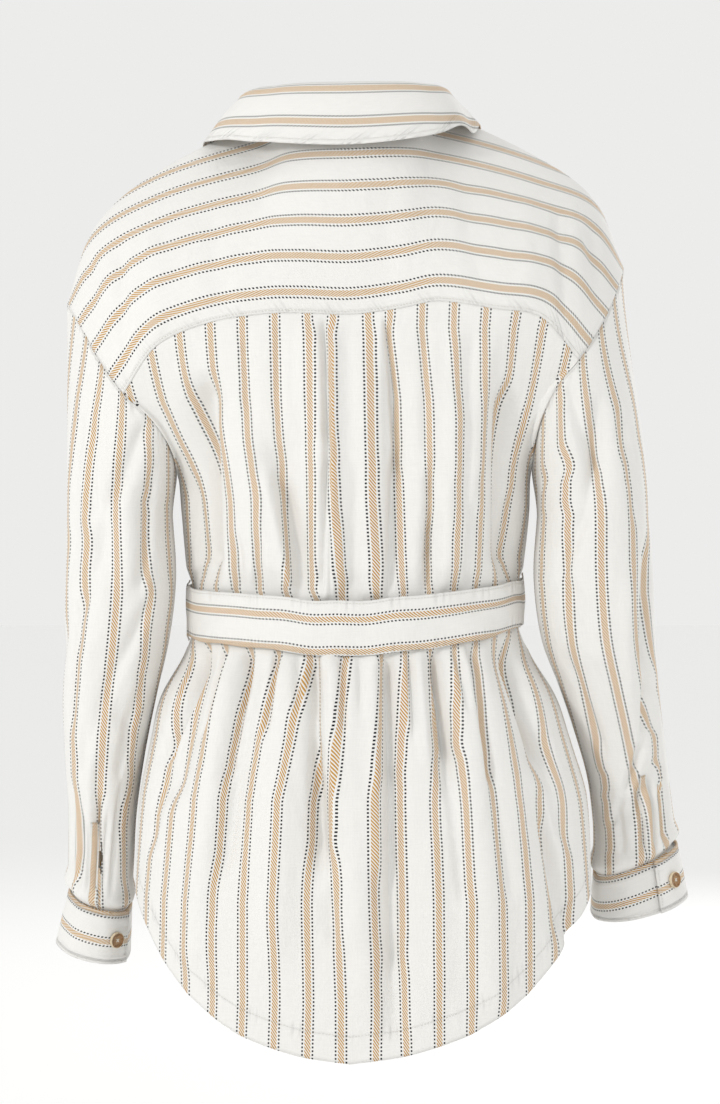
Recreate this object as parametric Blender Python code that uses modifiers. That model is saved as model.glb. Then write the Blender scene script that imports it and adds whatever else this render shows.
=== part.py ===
"""A striped shirt jacket, worn with its belt tied, as hollow cloth walls in its pose.

Metres, +Z up. The garment's back faces +Y and the wearer's left is +X. The origin is the nape,
at the middle of the back neck seam. The tables are in millimetres.
"""

import math

import bmesh
import bpy
import numpy as np
from mathutils import Matrix, Vector

MM = 0.001
SEAM_GAP = 0.35 * MM
CLOTH = 1.2 * MM
DOUBLE_CLOTH = 2.4 * MM
LAYER_GAP = 0.35 * MM

TOP_ROWS = 4
WAIST_ROWS = 3
BELT_ROWS = 1
SKIRT_ROWS = 7
YOKE_COLUMNS_PER_SECTION = 4
YOKE_BACK_ROWS = 6
YOKE_FRONT_ROWS = 4
SLEEVE_SIDES = 24
SLEEVE_CAP_ROWS = 4
SLEEVE_ROWS_PER_SECTION = 2
COLLAR_COLUMNS_PER_SECTION = 3

# Sections of the body, level by level. Left and right are distances from the middle.
BODY_COLUMNS = ("z", "left", "right", "back", "front", "squareness")
BODY = (
    (-100, 205, 205, 32, -165, 2.6),
    (-160, 208, 206, 36, -178, 2.7),
    (-227, 192, 192, 34, -192, 2.7),
    (-258, 164, 170, 30, -197, 2.6),
    (-290, 151, 158, 26, -200, 2.6),
    (-330, 147, 156, 20, -198, 2.5),
    (-376, 143, 151, 12, -190, 2.4),
    (-394, 137, 145, 6, -183, 2.3),
    (-422, 136, 145, 5, -182, 2.3),
    (-448, 143, 155, 10, -186, 2.3),
    (-489, 165, 179, 26, -200, 2.3),
    (-527, 174, 192, 34, -210, 2.35),
    (-574, 183, 206, 39, -216, 2.4),
    (-642, 187, 210, 41, -218, 2.4),
    (-700, 188, 212, 41, -216, 2.4),
    (-800, 189, 213, 40, -214, 2.4),
)
SIDE_SEAM_Y = -88

# The shirt-tail hem. Turn is 0 at the centre back, 1 at a side seam and 2 at the centre front.
HEM_COLUMNS = ("turn", "z")
HEM = (
    (0.0, -796),
    (0.16, -790),
    (0.29, -780),
    (0.40, -767),
    (0.55, -740),
    (0.66, -712),
    (0.77, -683),
    (0.88, -662),
    (1.0, -652),
    (1.12, -662),
    (1.25, -690),
    (1.42, -722),
    (1.6, -744),
    (1.8, -758),
    (2.2, -762),
)

# The armhole seams, once round: 0 on top of the shoulder, 3 where the back yoke ends,
# 6 under the arm and 10 where the yoke ends in front. The columns are the distance out to that
# side, y and z.
ARMHOLE = {
    "left": (
        (245, -62, -147),
        (233, -30, -164),
        (217, -10, -195),
        (194, 2, -227),
        (172, -3, -247),
        (156, -24, -268),
        (151, -75, -290),
        (158, -125, -270),
        (176, -140, -240),
        (202, -134, -205),
        (226, -112, -172),
        (241, -88, -152),
    ),
    "right": (
        (237, -62, -116),
        (230, -30, -136),
        (217, -10, -165),
        (196, 2, -198),
        (178, -3, -220),
        (163, -24, -252),
        (158, -75, -285),
        (164, -125, -262),
        (178, -140, -226),
        (200, -134, -180),
        (222, -112, -145),
        (234, -88, -122),
    ),
}
BACK_CORNER = 3
UNDERARM = 6
FRONT_CORNER = 10

# The yoke from the left shoulder's end to the right one's: a point on its back seam, one on the
# shoulder's ridge or on the neck seam, and one on its front seam.
YOKE_COLUMNS = ("seam_x", "seam_y", "seam_z", "top_x", "top_y", "top_z",
                "front_x", "front_y", "front_z")
YOKE = (
    (194, 2, -227, 245, -62, -147, 226, -112, -172),
    (164, 23, -187, 222, -62, -82, 196, -122, -118),
    (119, 34, -168, 172, -62, -36, 150, -118, -74),
    (74, 37, -161, 84, -62, 8, 80, -104, -26),
    (42, 37, -160, 50, -18, 4, 0, 0, 0),
    (0, 35, -161, 0, 0, 0, 0, 0, 0),
    (-42, 37, -156, -50, -18, 6, 0, 0, 0),
    (-76, 37, -150, -82, -62, 16, -78, -104, -18),
    (-122, 34, -156, -165, -62, -22, -146, -118, -62),
    (-163, 23, -163, -212, -62, -58, -188, -122, -94),
    (-196, 2, -198, -237, -62, -116, -222, -112, -145),
)
NECK_LEFT = 3
NECK_RIGHT = 7

# Half of the neck seam in front of the yoke, from its end to the centre front, as points whose x
# is the distance out to that side.
FRONT_NECK = {
    "left": ((80, -104, -26), (66, -126, -52), (42, -142, -78), (16, -149, -92), (-18, -149, -93)),
    "right": ((78, -104, -18), (65, -126, -48), (42, -142, -76), (16, -149, -92), (-18, -149, -93)),
}

# The turns at which a panel's top edge passes from one seam to the next, and the columns of cloth
# between them. The armhole has two columns for each of its rows, as the sleeve has.
BACK_YOKE_TURN = 0.72
BACK_STOPS = (-1, -BACK_YOKE_TURN, BACK_YOKE_TURN, 1)
BACK_COLUMNS = (6, 36, 6)
FRONT_ARMHOLE_TURN = 1.30
FRONT_YOKE_TURN = 1.66
CENTRE_FRONT_TURN = 2.0
BAND_TURN = 2.07
FRONT_STOPS = (1, FRONT_ARMHOLE_TURN, FRONT_YOKE_TURN, BAND_TURN)
FRONT_COLUMNS = (8, 6, 7)

# The fronts part by a layer each way from this turn on, where the right one laps over the left.
LAP_TURN = 1.84
LAP_RAMP = 0.06
LAP_LAYER = 0.9

# A panel is shaped by its top edge down to the landing, and by the body's sections below it.
LANDING_Z = -306
LANDING_STEP = 12.0
BACK_PLUMB = (0, 0.05, -1)
FRONT_PLUMB = (0, -0.45, -0.9)
SIDE_PLUMB = (-0.05, 0, -1)
BACK_CORNER_LEAN = (-0.88, -0.16, -0.56)
FRONT_CORNER_LEAN = (-0.62, -0.50, -0.62)
BELT_MARGIN = 4
BELT_PRESS_FADE = 16

# The largest folds. Face is 1 on the back and -1 on the front. A positive rise stands out.
FOLD_COLUMNS = ("face", "x_top", "z_top", "x_bottom", "z_bottom", "rise", "half_width")
FOLDS = (
    (1, 30, -170, 18, -660, 4.5, 8),
    (1, 21, -170, 22, -560, 4.5, 8),
    (1, -9, -170, -26, -640, 4.5, 10),
    (1, 12, -176, 16, -380, 4.0, 18),
    (1, -38, -200, -40, -386, -8.0, 13),
    (1, 122, -214, 122, -386, -14.0, 14),
    (1, 92, -250, 66, -386, 6.0, 18),
    (1, 62, -270, 40, -386, -9.0, 14),
    (1, -72, -330, -68, -386, -9.0, 8),
    (1, -92, -230, -90, -386, 6.0, 16),
    (1, -133, -222, -136, -386, -12.0, 14),
    (1, 28, -450, 24, -640, -12.0, 9),
    (1, 5, -450, -2, -700, 6.5, 16),
    (1, -31, -450, -36, -780, -9.0, 11),
    (1, 56, -450, 62, -700, 6.0, 18),
    (1, 84, -446, 108, -640, -10.0, 13),
    (1, 122, -442, 158, -580, -11.0, 13),
    (1, 104, -444, 132, -720, 6.0, 15),
    (1, -68, -446, -84, -570, -10.0, 8),
    (1, -96, -446, -124, -760, 6.5, 18),
    (1, -130, -440, -168, -560, -11.0, 12),
    (1, -160, -560, -186, -700, -8.0, 12),
    (-1, 122, -200, 104, -386, -10.0, 15),
    (-1, 62, -190, 54, -386, -8.0, 16),
    (-1, -60, -210, -52, -386, -8.0, 16),
    (-1, -118, -214, -104, -386, -10.0, 15),
    (-1, 88, -440, 112, -640, -10.0, 15),
    (-1, 46, -440, 58, -720, -8.0, 13),
    (-1, -50, -440, -64, -700, -8.0, 13),
    (-1, -96, -440, -124, -620, -10.0, 15),
)
FOLD_FADE = 34
FOLD_START = 30
SEAM_CALM_TURN = 0.12

# The belt's middle line and its width, round the waist.
BELT_COLUMNS = ("turn", "z", "width")
BELT = (
    (-2.0, -414, 46),
    (-1.5, -408, 44),
    (-1.0, -405, 38),
    (-0.5, -418, 45),
    (0.0, -428, 47),
    (0.5, -421, 45),
    (1.0, -414, 43),
    (1.5, -412, 45),
    (2.0, -414, 46),
)
BELT_STEPS = 56
BELT_ROWS_ACROSS = 3
BELT_EASE = 3.9
BELT_OVER_BAND = 1.2

# Sleeve sections from the armpit down. Roll and pitch are the ring's rise to its outer and back side.
SLEEVE_COLUMNS = ("z", "outer", "inner", "y", "half_depth", "roll", "pitch")
SLEEVE = {
    "left": (
        (-332, 246, 155, -68, 60, 0, 0),
        (-385, 247, 152, -66, 56, 0, 0),
        (-438, 249, 158, -72, 52, 0, 0),
        (-489, 251, 170, -84, 49, 0, 0),
        (-540, 250, 181, -102, 47, 0.03, -0.04),
        (-591, 248, 189, -118, 46, 0.08, -0.10),
        (-634, 249, 192, -130, 44, 0.18, -0.18),
        (-655, 249, 194, -135, 41, 0.24, -0.24),
        (-666, 247, 196, -138, 36, 0.28, -0.28),
    ),
    "right": (
        (-332, 259, 163, -68, 60, 0, 0),
        (-385, 263, 160, -66, 56, 0, 0),
        (-438, 265, 167, -72, 52, 0, 0),
        (-480, 269, 183, -86, 48, 0, 0),
        (-518, 274, 197, -102, 46, 0.05, -0.03),
        (-556, 279, 209, -118, 45, 0.12, -0.08),
        (-592, 284, 215, -132, 44, 0.26, -0.14),
        (-620, 287, 216, -139, 41, 0.38, -0.20),
        (-632, 285, 218, -142, 37, 0.42, -0.22),
    ),
}
SLEEVE_SQUARENESS = 2.15
CAP_GAP_OUTSIDE = 1.1
CAP_GAP_INSIDE = 2.2
CAP_AWAY = (0.84, 0, -0.55)

SLEEVE_FOLD_COLUMNS = ("angle_top", "z_top", "angle_bottom", "z_bottom", "rise", "half_angle")
SLEEVE_FOLDS = {
    "left": (
        (60, -300, 95, -420, -5.0, 16),
        (110, -330, 60, -470, 3.0, 18),
        (70, -440, 120, -520, -4.0, 18),
        (85, -540, 88, -640, -3.5, 10),
        (50, -560, 60, -640, -3.0, 10),
        (240, -330, 290, -440, -5.0, 18),
        (300, -460, 250, -560, -4.0, 18),
        (20, -420, 330, -520, -3.5, 16),
    ),
    "right": (
        (75, -250, 110, -340, -6.0, 16),
        (30, -360, 42, -540, -5.0, 12),
        (42, -540, 105, -600, -6.0, 14),
        (100, -420, 80, -520, 3.0, 18),
        (240, -330, 290, -440, -5.0, 18),
        (300, -460, 250, -560, -4.0, 18),
    ),
}

CUFF_COLUMNS = ("z", "outer", "inner", "y", "half_depth", "roll", "pitch")
CUFF = {
    "left": (
        (-667.0, 247, 196, -138, 36, 0.28, -0.28),
        (-690, 253, 197, -143, 38, 0.26, -0.27),
        (-713, 259, 198, -148, 40, 0.22, -0.26),
    ),
    "right": (
        (-633.0, 285, 218, -142, 37, 0.42, -0.22),
        (-653, 290, 217, -146, 39, 0.34, -0.25),
        (-674, 295, 216, -150, 41, 0.24, -0.28),
    ),
}
CUFF_STEPS = 30
CUFF_ROWS = 4
CUFF_START = {"left": 118, "right": 40}
CUFF_LAP = 28
CUFF_CLEAR = 0.9
CUFF_LIFT_FROM = 0.72
CUFF_LIFT_OVER = 0.2
CUFF_BUTTON_COLUMN = -3

PLACKET_TURN = {"left": 84, "right": 72}
PLACKET_HALF_TURN = 7
PLACKET_LENGTH = 78
PLACKET_EASE = 0.9 * MM

# Collar sections from the left point round the back to the right point. Share is how far round
# the neck seam the section stands.
COLLAR_COLUMNS = ("share", "fold_x", "fold_y", "fold_z", "edge_x", "edge_y", "edge_z")
COLLAR = (
    (0.055, 24, -154, -58, 60, -174, -138),
    (0.19, 68, -128, -18, 112, -156, -84),
    (0.33, 88, -60, 31, 127, -60, 5),
    (0.42, 60, -12, 37, 80, 9, -12),
    (0.50, 0, 5, 38, 0, 25, -17),
    (0.58, -58, -12, 39, -76, 9, -6),
    (0.67, -80, -60, 34, -112, -60, 15),
    (0.81, -66, -128, -14, -106, -156, -78),
    (0.945, -24, -154, -56, -60, -174, -136),
)
STAND_ROWS = 2
NECK_MIDDLE_Y = -70
FALL_ROWS = 4
FALL_BULGE = 6
STAND_SEAT = 1.4
STAND_INSET = 0.7
STAND_UNDER_FOLD = 2.5

BUTTON_RADIUS = 7.2
BUTTON_THICK = 2.6
BUTTON_RIM = 0.5
BUTTON_SIDES = 14
FRONT_BUTTON_LEVELS = (-115, -198, -281, -364, -486, -574, -662)

KNOT_SIZE = (44, 24, 40)
KNOT_ROUNDING = 9
BELT_END_WIDTH = 40
BELT_END_LENGTHS = {"left": 250, "right": 285}
BELT_END_LEAN = {"left": 26, "right": -30}
BELT_END_ROWS = 10
BELT_END_CLEAR = 9
BELT_END_LAYER = 4.0

LOOP_RADIUS = 0.8
LOOP_POINTS = 8
LOOP_REACH = 5
LOOP_FOOT_GAP = 0.3
LOOP_OVER_BELT = 5.4
LOOP_FOOT_SHARE = 0.93

COLOURS = {
    "cloth": (0.88, 0.87, 0.84, 1),
    "thread": (0.80, 0.78, 0.72, 1),
    "button": (0.55, 0.42, 0.26, 1),
}
ROUGHNESS = {"cloth": 0.85, "thread": 0.9, "button": 0.35}


def column(rows, names, name):
    """One named column of a table."""
    return np.array([row[names.index(name)] for row in rows], float)


def through(values, at, closed=False):
    """Points on a smooth curve through the rows of values, at row numbers that may be fractions."""
    values = np.asarray(values, float)
    at = np.asarray(at, float)
    count = len(values)
    if closed:
        low = np.floor(at).astype(int)
        share = at - low
        picks = [values[(low + step) % count] for step in (-1, 0, 1, 2)]
    else:
        low = np.clip(np.floor(at).astype(int), 0, count - 2)
        share = at - low
        before = 2 * values[0] - values[1]
        after = 2 * values[-1] - values[-2]
        padded = np.vstack([before, values, after])
        picks = [padded[low + step] for step in (0, 1, 2, 3)]
    share = share[..., None]
    a, b, c, d = picks
    return 0.5 * (2 * b + (c - a) * share + (2 * a - 5 * b + 4 * c - d) * share**2
                  + (3 * b - a - 3 * c + d) * share**3)


def row_number(keys, at):
    """The row number, with its fraction, at which a rising or falling key column has this value."""
    keys = np.asarray(keys, float)
    rows = np.arange(len(keys))
    if keys[0] > keys[-1]:
        return np.interp(-np.asarray(at), -keys, rows)
    return np.interp(at, keys, rows)


def grid_normals(points, hint):
    """Unit normals of a grid of points, on the side that the hint points to."""
    down = np.gradient(points, axis=0)
    across = np.gradient(points, axis=1)
    normals = np.cross(across, down)
    normals = normals / np.maximum(np.linalg.norm(normals, axis=-1, keepdims=True), 1e-9)
    side = np.sign((normals * hint).sum(-1, keepdims=True))
    return normals * side


def ease(share):
    """From 0 to 1, level at both ends."""
    share = np.clip(share, 0, 1)
    return share * share * (3 - 2 * share)


def body_ring(turn, z):
    """The smooth body form: points and outward level directions. Turn is 1 at the left side seam."""
    rows = row_number(column(BODY, BODY_COLUMNS, "z"), z)
    table = through(BODY, rows)
    left, right, back, front, square = (table[..., i] for i in range(1, 6))
    turn = np.where(turn > 2, turn - 4, turn)
    turn = np.where(turn < -2, turn + 4, turn)
    away = np.abs(turn)
    on_back = away <= 1
    share = np.where(on_back, away, 2 - away)
    half_width = np.where(turn >= 0, left, right)
    depth = np.where(on_back, back - SIDE_SEAM_Y, front - SIDE_SEAM_Y)
    angles = np.linspace(0, math.pi / 2, 49)
    power = 2 / square[..., None]
    xs = half_width[..., None] * np.sin(angles) ** power
    ys = depth[..., None] * np.cos(angles) ** power
    steps = np.hypot(np.diff(xs, axis=-1), np.diff(ys, axis=-1))
    lengths = np.concatenate([np.zeros(steps.shape[:-1] + (1,)), np.cumsum(steps, -1)], -1)
    wanted = share * lengths[..., -1]
    low = np.clip((lengths < wanted[..., None]).sum(-1) - 1, 0, len(angles) - 2)
    picked = [np.take_along_axis(a, i[..., None], -1)[..., 0]
              for a in (lengths, xs, ys) for i in (low, low + 1)]
    part = (wanted - picked[0]) / np.maximum(picked[1] - picked[0], 1e-9)
    x = picked[2] + (picked[3] - picked[2]) * part
    y = picked[4] + (picked[5] - picked[4]) * part
    side = np.where(turn >= 0, 1.0, -1.0)
    steep = square - 1
    normal_x = (x / half_width) ** steep / half_width
    normal_y = (np.abs(y / depth)) ** steep / np.abs(depth)
    normal_y = np.where(on_back, normal_y, -normal_y)
    size = np.hypot(normal_x, normal_y)
    points = np.stack([side * x, y + SIDE_SEAM_Y, np.broadcast_to(z, x.shape)], -1)
    normals = np.stack([side * normal_x / size, normal_y / size, np.zeros(x.shape)], -1)
    return points, normals


def fold_rise(points, turn):
    """How far the folds lift the cloth off the smooth form."""
    x, z = points[..., 0], points[..., 2]
    away = np.abs(turn)
    face = np.where(away <= 1, 1, -1)
    total = np.zeros(x.shape)
    for row in FOLDS:
        fold = dict(zip(FOLD_COLUMNS, row))
        along = (fold["z_top"] - z) / (fold["z_top"] - fold["z_bottom"])
        line = fold["x_top"] + (fold["x_bottom"] - fold["x_top"]) * along
        across = (x - line) / fold["half_width"]
        fade = FOLD_FADE / (fold["z_top"] - fold["z_bottom"])
        held = ease(along / fade + 0.3) * ease((1 - along) / fade + 0.3)
        total += np.where(face == fold["face"], fold["rise"] * np.exp(-across**2) * held, 0)
    beside_side = ease(np.abs(away - 1) / SEAM_CALM_TURN)
    beside_front = ease((CENTRE_FRONT_TURN - away) / SEAM_CALM_TURN + 0.2)
    return total * beside_side * beside_front


def belt_at(turn):
    """The belt's middle height and width at this turn."""
    rows = row_number(column(BELT, BELT_COLUMNS, "turn"), turn)
    table = through(BELT, rows)
    return table[..., 1], table[..., 2]


def under_belt(turn, z):
    """1 where the belt presses the cloth flat, 0 away from it."""
    middle, width = belt_at(turn)
    return 1 - ease((np.abs(z - middle) - width / 2 - BELT_MARGIN) / BELT_PRESS_FADE)


def armhole(side, place):
    sign = 1 if side == "left" else -1
    return through(ARMHOLE[side], place, closed=True) * (sign, 1, 1)


def yoke_row(at, first):
    """Points of one line of the yoke's table, whose first column is named."""
    start = YOKE_COLUMNS.index(first)
    return through(np.array(YOKE, float)[:, start:start + 3], at)


def seam_rows(first, low, high, shares):
    """Row numbers of the yoke's table at shares of the length of one of its lines."""
    fine = np.linspace(low, high, 200)
    points = yoke_row(fine, first)
    lengths = np.concatenate([[0], np.cumsum(np.linalg.norm(np.diff(points, axis=0), axis=1))])
    return np.interp(np.asarray(shares) * lengths[-1], lengths, fine)


def back_top(turns):
    """The back panel's top edge: the yoke seam, then down each armhole."""
    middle = (len(YOKE) - 1) / 2
    points = np.zeros((len(turns), 3))
    for i, turn in enumerate(turns):
        side = "left" if turn >= 0 else "right"
        away = abs(turn)
        if away <= BACK_YOKE_TURN:
            end = 0 if side == "left" else len(YOKE) - 1
            at = seam_rows("seam_x", middle, end, [away / BACK_YOKE_TURN])
            points[i] = yoke_row(at, "seam_x")[0]
        else:
            share = (away - BACK_YOKE_TURN) / (1 - BACK_YOKE_TURN)
            points[i] = armhole(side, BACK_CORNER + share * (UNDERARM - BACK_CORNER))
    return points


def front_top(side, turns):
    """A front's top edge: up the armhole, along the yoke's front seam and down the neck."""
    sign = 1 if side == "left" else -1
    end, neck = (0, NECK_LEFT) if side == "left" else (len(YOKE) - 1, NECK_RIGHT)
    points = np.zeros((len(turns), 3))
    for i, away in enumerate(turns):
        if away <= FRONT_ARMHOLE_TURN:
            share = (away - 1) / (FRONT_ARMHOLE_TURN - 1)
            points[i] = armhole(side, UNDERARM + share * (FRONT_CORNER - UNDERARM))
        elif away <= FRONT_YOKE_TURN:
            share = (away - FRONT_ARMHOLE_TURN) / (FRONT_YOKE_TURN - FRONT_ARMHOLE_TURN)
            points[i] = yoke_front(side, end + share * (neck - end))
        else:
            share = (away - FRONT_YOKE_TURN) / (BAND_TURN - FRONT_YOKE_TURN)
            points[i] = through(FRONT_NECK[side], share * (len(FRONT_NECK[side]) - 1)) * (sign, 1, 1)
    return points


def yoke_front(side, at):
    """The yoke's front seam, through the rows of one shoulder only."""
    rows = np.array(YOKE, float)[:, 6:9]
    if side == "left":
        return through(rows[:NECK_LEFT + 1], at)
    return through(rows[NECK_RIGHT:], np.asarray(at) - NECK_RIGHT)


def column_turns(stops, counts):
    """The turns of a panel's columns, evenly spaced between its stops."""
    parts = [np.linspace(a, b, n, endpoint=False) for a, b, n in zip(stops, stops[1:], counts)]
    return np.concatenate([*parts, [stops[-1]]])


def column_levels(turns):
    """Each column's heights below the landing: to the belt, under it, and down to the hem."""
    middle, width = belt_at(turns)
    away = np.abs(turns)
    hem = through(HEM, row_number(column(HEM, HEM_COLUMNS, "turn"), away))[:, 1]
    stops = (np.full(len(turns), float(LANDING_Z)), middle + width / 2 + BELT_MARGIN,
             middle - width / 2 - BELT_MARGIN, hem)
    parts = []
    for start, stop, rows in zip(stops, stops[1:], (WAIST_ROWS, BELT_ROWS, SKIRT_ROWS)):
        share = np.linspace(0, 1, rows + 1)[1:, None]
        parts.append(start + (stop - start) * share)
    return np.concatenate(parts, 0)


def panel(turns, tops, leans, layer=0.0):
    """A body panel hanging from its top edge to the hem, with its folds, as rows of points."""
    z = column_levels(turns)
    turn = np.broadcast_to(turns, z.shape)
    below, normals = body_ring(turn, z)
    landing, landing_normals = body_ring(turns, np.full(len(turns), float(LANDING_Z)))
    ahead = body_ring(turns, np.full(len(turns), LANDING_Z - LANDING_STEP))[0] - landing
    ahead = ahead / np.linalg.norm(ahead, axis=-1, keepdims=True)
    above = hang_profile(tops, landing, leans, ahead, np.linspace(0, 1, TOP_ROWS + 1))
    points = np.concatenate([above, below], 0)
    level = np.concatenate([np.repeat(landing_normals[None], len(above), 0), normals], 0)
    normals = grid_normals(points, level)
    turn = np.broadcast_to(turns, points.shape[:2])
    pressed = under_belt(turn, points[..., 2])
    fallen = np.linalg.norm(points - tops, axis=-1)
    rise = fold_rise(points, turn) * (1 - pressed) * ease(fallen / FOLD_START)
    rise = rise + layer * ease((np.abs(turn) - LAP_TURN) / LAP_RAMP)
    return (points + normals * rise[..., None]) * MM


def column_leans(turns, share, corner, plumb):
    """The direction in which each column leaves its top edge, for one side of a panel.

    Share is the turn of the panel's corner, counted from its middle, and the side seam is at 1.
    """
    away = np.asarray(turns, float)
    corner = np.array(corner, float)
    to_corner = ease(away / share)[:, None] ** 1.5
    to_side = ease((away - share) / (1 - share))[:, None]
    inner = np.array(plumb) * (1 - to_corner) + corner * to_corner
    outer = corner * (1 - to_side) + np.array(SIDE_PLUMB) * to_side
    ways = np.where((away <= share)[:, None], inner, outer)
    return ways / np.linalg.norm(ways, axis=-1, keepdims=True)


def back_leans(turns):
    ways = column_leans(np.abs(turns), BACK_YOKE_TURN, BACK_CORNER_LEAN, BACK_PLUMB)
    ways[:, 0] *= np.where(turns >= 0, 1, -1)
    return ways


def front_leans(side, away):
    share = CENTRE_FRONT_TURN - FRONT_ARMHOLE_TURN
    from_middle = np.maximum(CENTRE_FRONT_TURN - away, 0)
    ways = column_leans(from_middle, share, FRONT_CORNER_LEAN, FRONT_PLUMB)
    return ways * (1 if side == "left" else -1, 1, 1)


def trimmed(points, axis, at_start, at_end):
    """The grid with its first or last line moved in along the cloth by these distances."""
    points = np.moveaxis(points.copy(), axis, 0)
    for line, inner, distance in ((0, 1, at_start), (-1, -2, at_end)):
        step = points[inner] - points[line]
        length = np.maximum(np.linalg.norm(step, axis=-1, keepdims=True), 2 * distance + 1e-9)
        points[line] = points[line] + step * distance / length
    return np.moveaxis(points, 0, axis)


def make_material(name):
    material = bpy.data.materials.new(name)
    material.use_nodes = True
    shader = material.node_tree.nodes["Principled BSDF"]
    shader.inputs["Base Color"].default_value = COLOURS[name]
    shader.inputs["Roughness"].default_value = ROUGHNESS[name]
    shader.inputs["Metallic"].default_value = 0
    return material


def add_object(name, data, material, collection):
    data.materials.append(material)
    made = bpy.data.objects.new(name, data)
    collection.objects.link(made)
    return made


def cloth_sheet(name, points, thick, material, collection, closed=False, kept=None):
    """A grid of points as a cloth wall. The middle of the wall runs through the points."""
    rows, columns = points.shape[:2]
    mesh = bmesh.new()
    corners = [[mesh.verts.new(points[r, c]) for c in range(columns)] for r in range(rows)]
    last = columns if closed else columns - 1
    for r in range(rows - 1):
        for c in range(last):
            if kept is None or kept[r, c]:
                d = (c + 1) % columns
                mesh.faces.new((corners[r][c], corners[r][d], corners[r + 1][d], corners[r + 1][c]))
    loose = [v for v in mesh.verts if not v.link_faces]
    bmesh.ops.delete(mesh, geom=loose, context="VERTS")
    bmesh.ops.recalc_face_normals(mesh, faces=mesh.faces)
    data = bpy.data.meshes.new(name)
    mesh.to_mesh(data)
    mesh.free()
    data.shade_smooth()
    made = add_object(name, data, material, collection)
    wall = made.modifiers.new("Wall", "SOLIDIFY")
    wall.thickness = thick
    wall.offset = 0
    wall.use_even_offset = False
    return made


def hang_profile(foot, top, foot_way, top_way, shares):
    """Points from foot to top that leave and arrive along the two given directions."""
    s = np.asarray(shares)[:, None, None]
    span = np.linalg.norm(top - foot, axis=-1, keepdims=True)
    return ((2 * s**3 - 3 * s**2 + 1) * foot + (s**3 - 2 * s**2 + s) * span * foot_way
            + (3 * s**2 - 2 * s**3) * top + (s**3 - s**2) * span * top_way)


def yoke_points(columns_per_section, back_rows, front_rows):
    """The yoke's grid, from its back seam over the shoulders, and which faces it keeps."""
    sections = len(YOKE) - 1
    at = np.linspace(0, sections, sections * columns_per_section + 1)
    seam = yoke_row(at, "seam_x")
    top = yoke_row(at, "top_x")
    front = np.zeros(top.shape)
    left = at <= NECK_LEFT
    right = at >= NECK_RIGHT
    front[left] = yoke_front("left", at[left])
    front[right] = yoke_front("right", at[right])
    for side, line in (("left", 0), ("right", -1)):
        seam[line] = armhole(side, BACK_CORNER)
        top[line] = armhole(side, 0)
        front[line] = armhole(side, FRONT_CORNER)
    lean = np.abs(at - sections / 2) / (sections / 2)
    foot_way = np.stack([np.sign(seam[:, 0]) * 0.5 * lean**3, 0.25 - 0.1 * lean, 1 - 0.25 * lean], -1)
    over_way = np.stack([-np.sign(seam[:, 0]) * 0.1 * lean, -0.7 - 0.05 * lean, 0.75 - 0.55 * lean], -1)
    back = hang_profile(seam, top, foot_way, over_way, np.linspace(0, 1, back_rows + 1))
    end_way = np.stack([-np.sign(seam[:, 0]) * 0.35 * lean, -0.6 + 0 * lean, -0.8 + 0 * lean], -1)
    start_way = np.stack([over_way[:, 0], over_way[:, 1], -0.05 + 0 * lean], -1)
    fore = hang_profile(top, front, start_way, end_way, np.linspace(0, 1, front_rows + 1))
    grid = np.concatenate([back, fore[1:]], 0)
    for side, line in (("left", 0), ("right", -1)):
        back_part = armhole(side, np.linspace(BACK_CORNER, 0, back_rows + 1))
        fore_part = armhole(side, np.linspace(len(ARMHOLE[side]), FRONT_CORNER, front_rows + 1))
        grid[:, line] = np.concatenate([back_part, fore_part[1:]], 0)
    kept = np.ones((len(grid) - 1, len(at) - 1), bool)
    middle = (at[:-1] >= NECK_LEFT) & (at[:-1] < NECK_RIGHT)
    kept[back_rows:, middle] = False
    return grid * MM, kept


def sleeve_ring(table, names, angles, rows):
    """Rings of a sleeve or cuff table at row numbers: points and outward directions."""
    values = through(table, rows)
    picked = {name: values[:, names.index(name)][:, None] for name in names}
    power = 2 / SLEEVE_SQUARENESS
    cos, sin = np.cos(angles)[None], np.sin(angles)[None]
    unit_x = np.sign(cos) * np.abs(cos) ** power
    unit_y = np.sign(sin) * np.abs(sin) ** power
    half = (picked["outer"] - picked["inner"]) / 2
    local_x = half * unit_x
    local_y = picked["half_depth"] * unit_y
    x = (picked["outer"] + picked["inner"]) / 2 + local_x
    y = picked["y"] + local_y
    z = picked["z"] + picked["roll"] * local_x + picked["pitch"] * local_y
    out = np.stack([cos / half, sin / picked["half_depth"], np.zeros(x.shape)], -1)
    out = out / np.linalg.norm(out, axis=-1, keepdims=True)
    return np.stack([x, y, z], -1), out


def sleeve_rise(side, angles, z):
    """How far the sleeve's folds lift it, by the angle round the arm and the height."""
    total = np.zeros(z.shape)
    degrees = np.degrees(angles)[None]
    for row in SLEEVE_FOLDS[side]:
        fold = dict(zip(SLEEVE_FOLD_COLUMNS, row))
        along = (fold["z_top"] - z) / (fold["z_top"] - fold["z_bottom"])
        turn = (fold["angle_bottom"] - fold["angle_top"] + 180) % 360 - 180
        line = fold["angle_top"] + turn * along
        across = ((degrees - line + 180) % 360 - 180) / fold["half_angle"]
        held = ease(along / 0.3 + 0.3) * ease((1 - along) / 0.3 + 0.3)
        total += fold["rise"] * np.exp(-across**2) * held
    inner = 1 - ease((np.cos(angles) + 0.9) / 0.5)[None]
    return total * (1 - inner)


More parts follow.
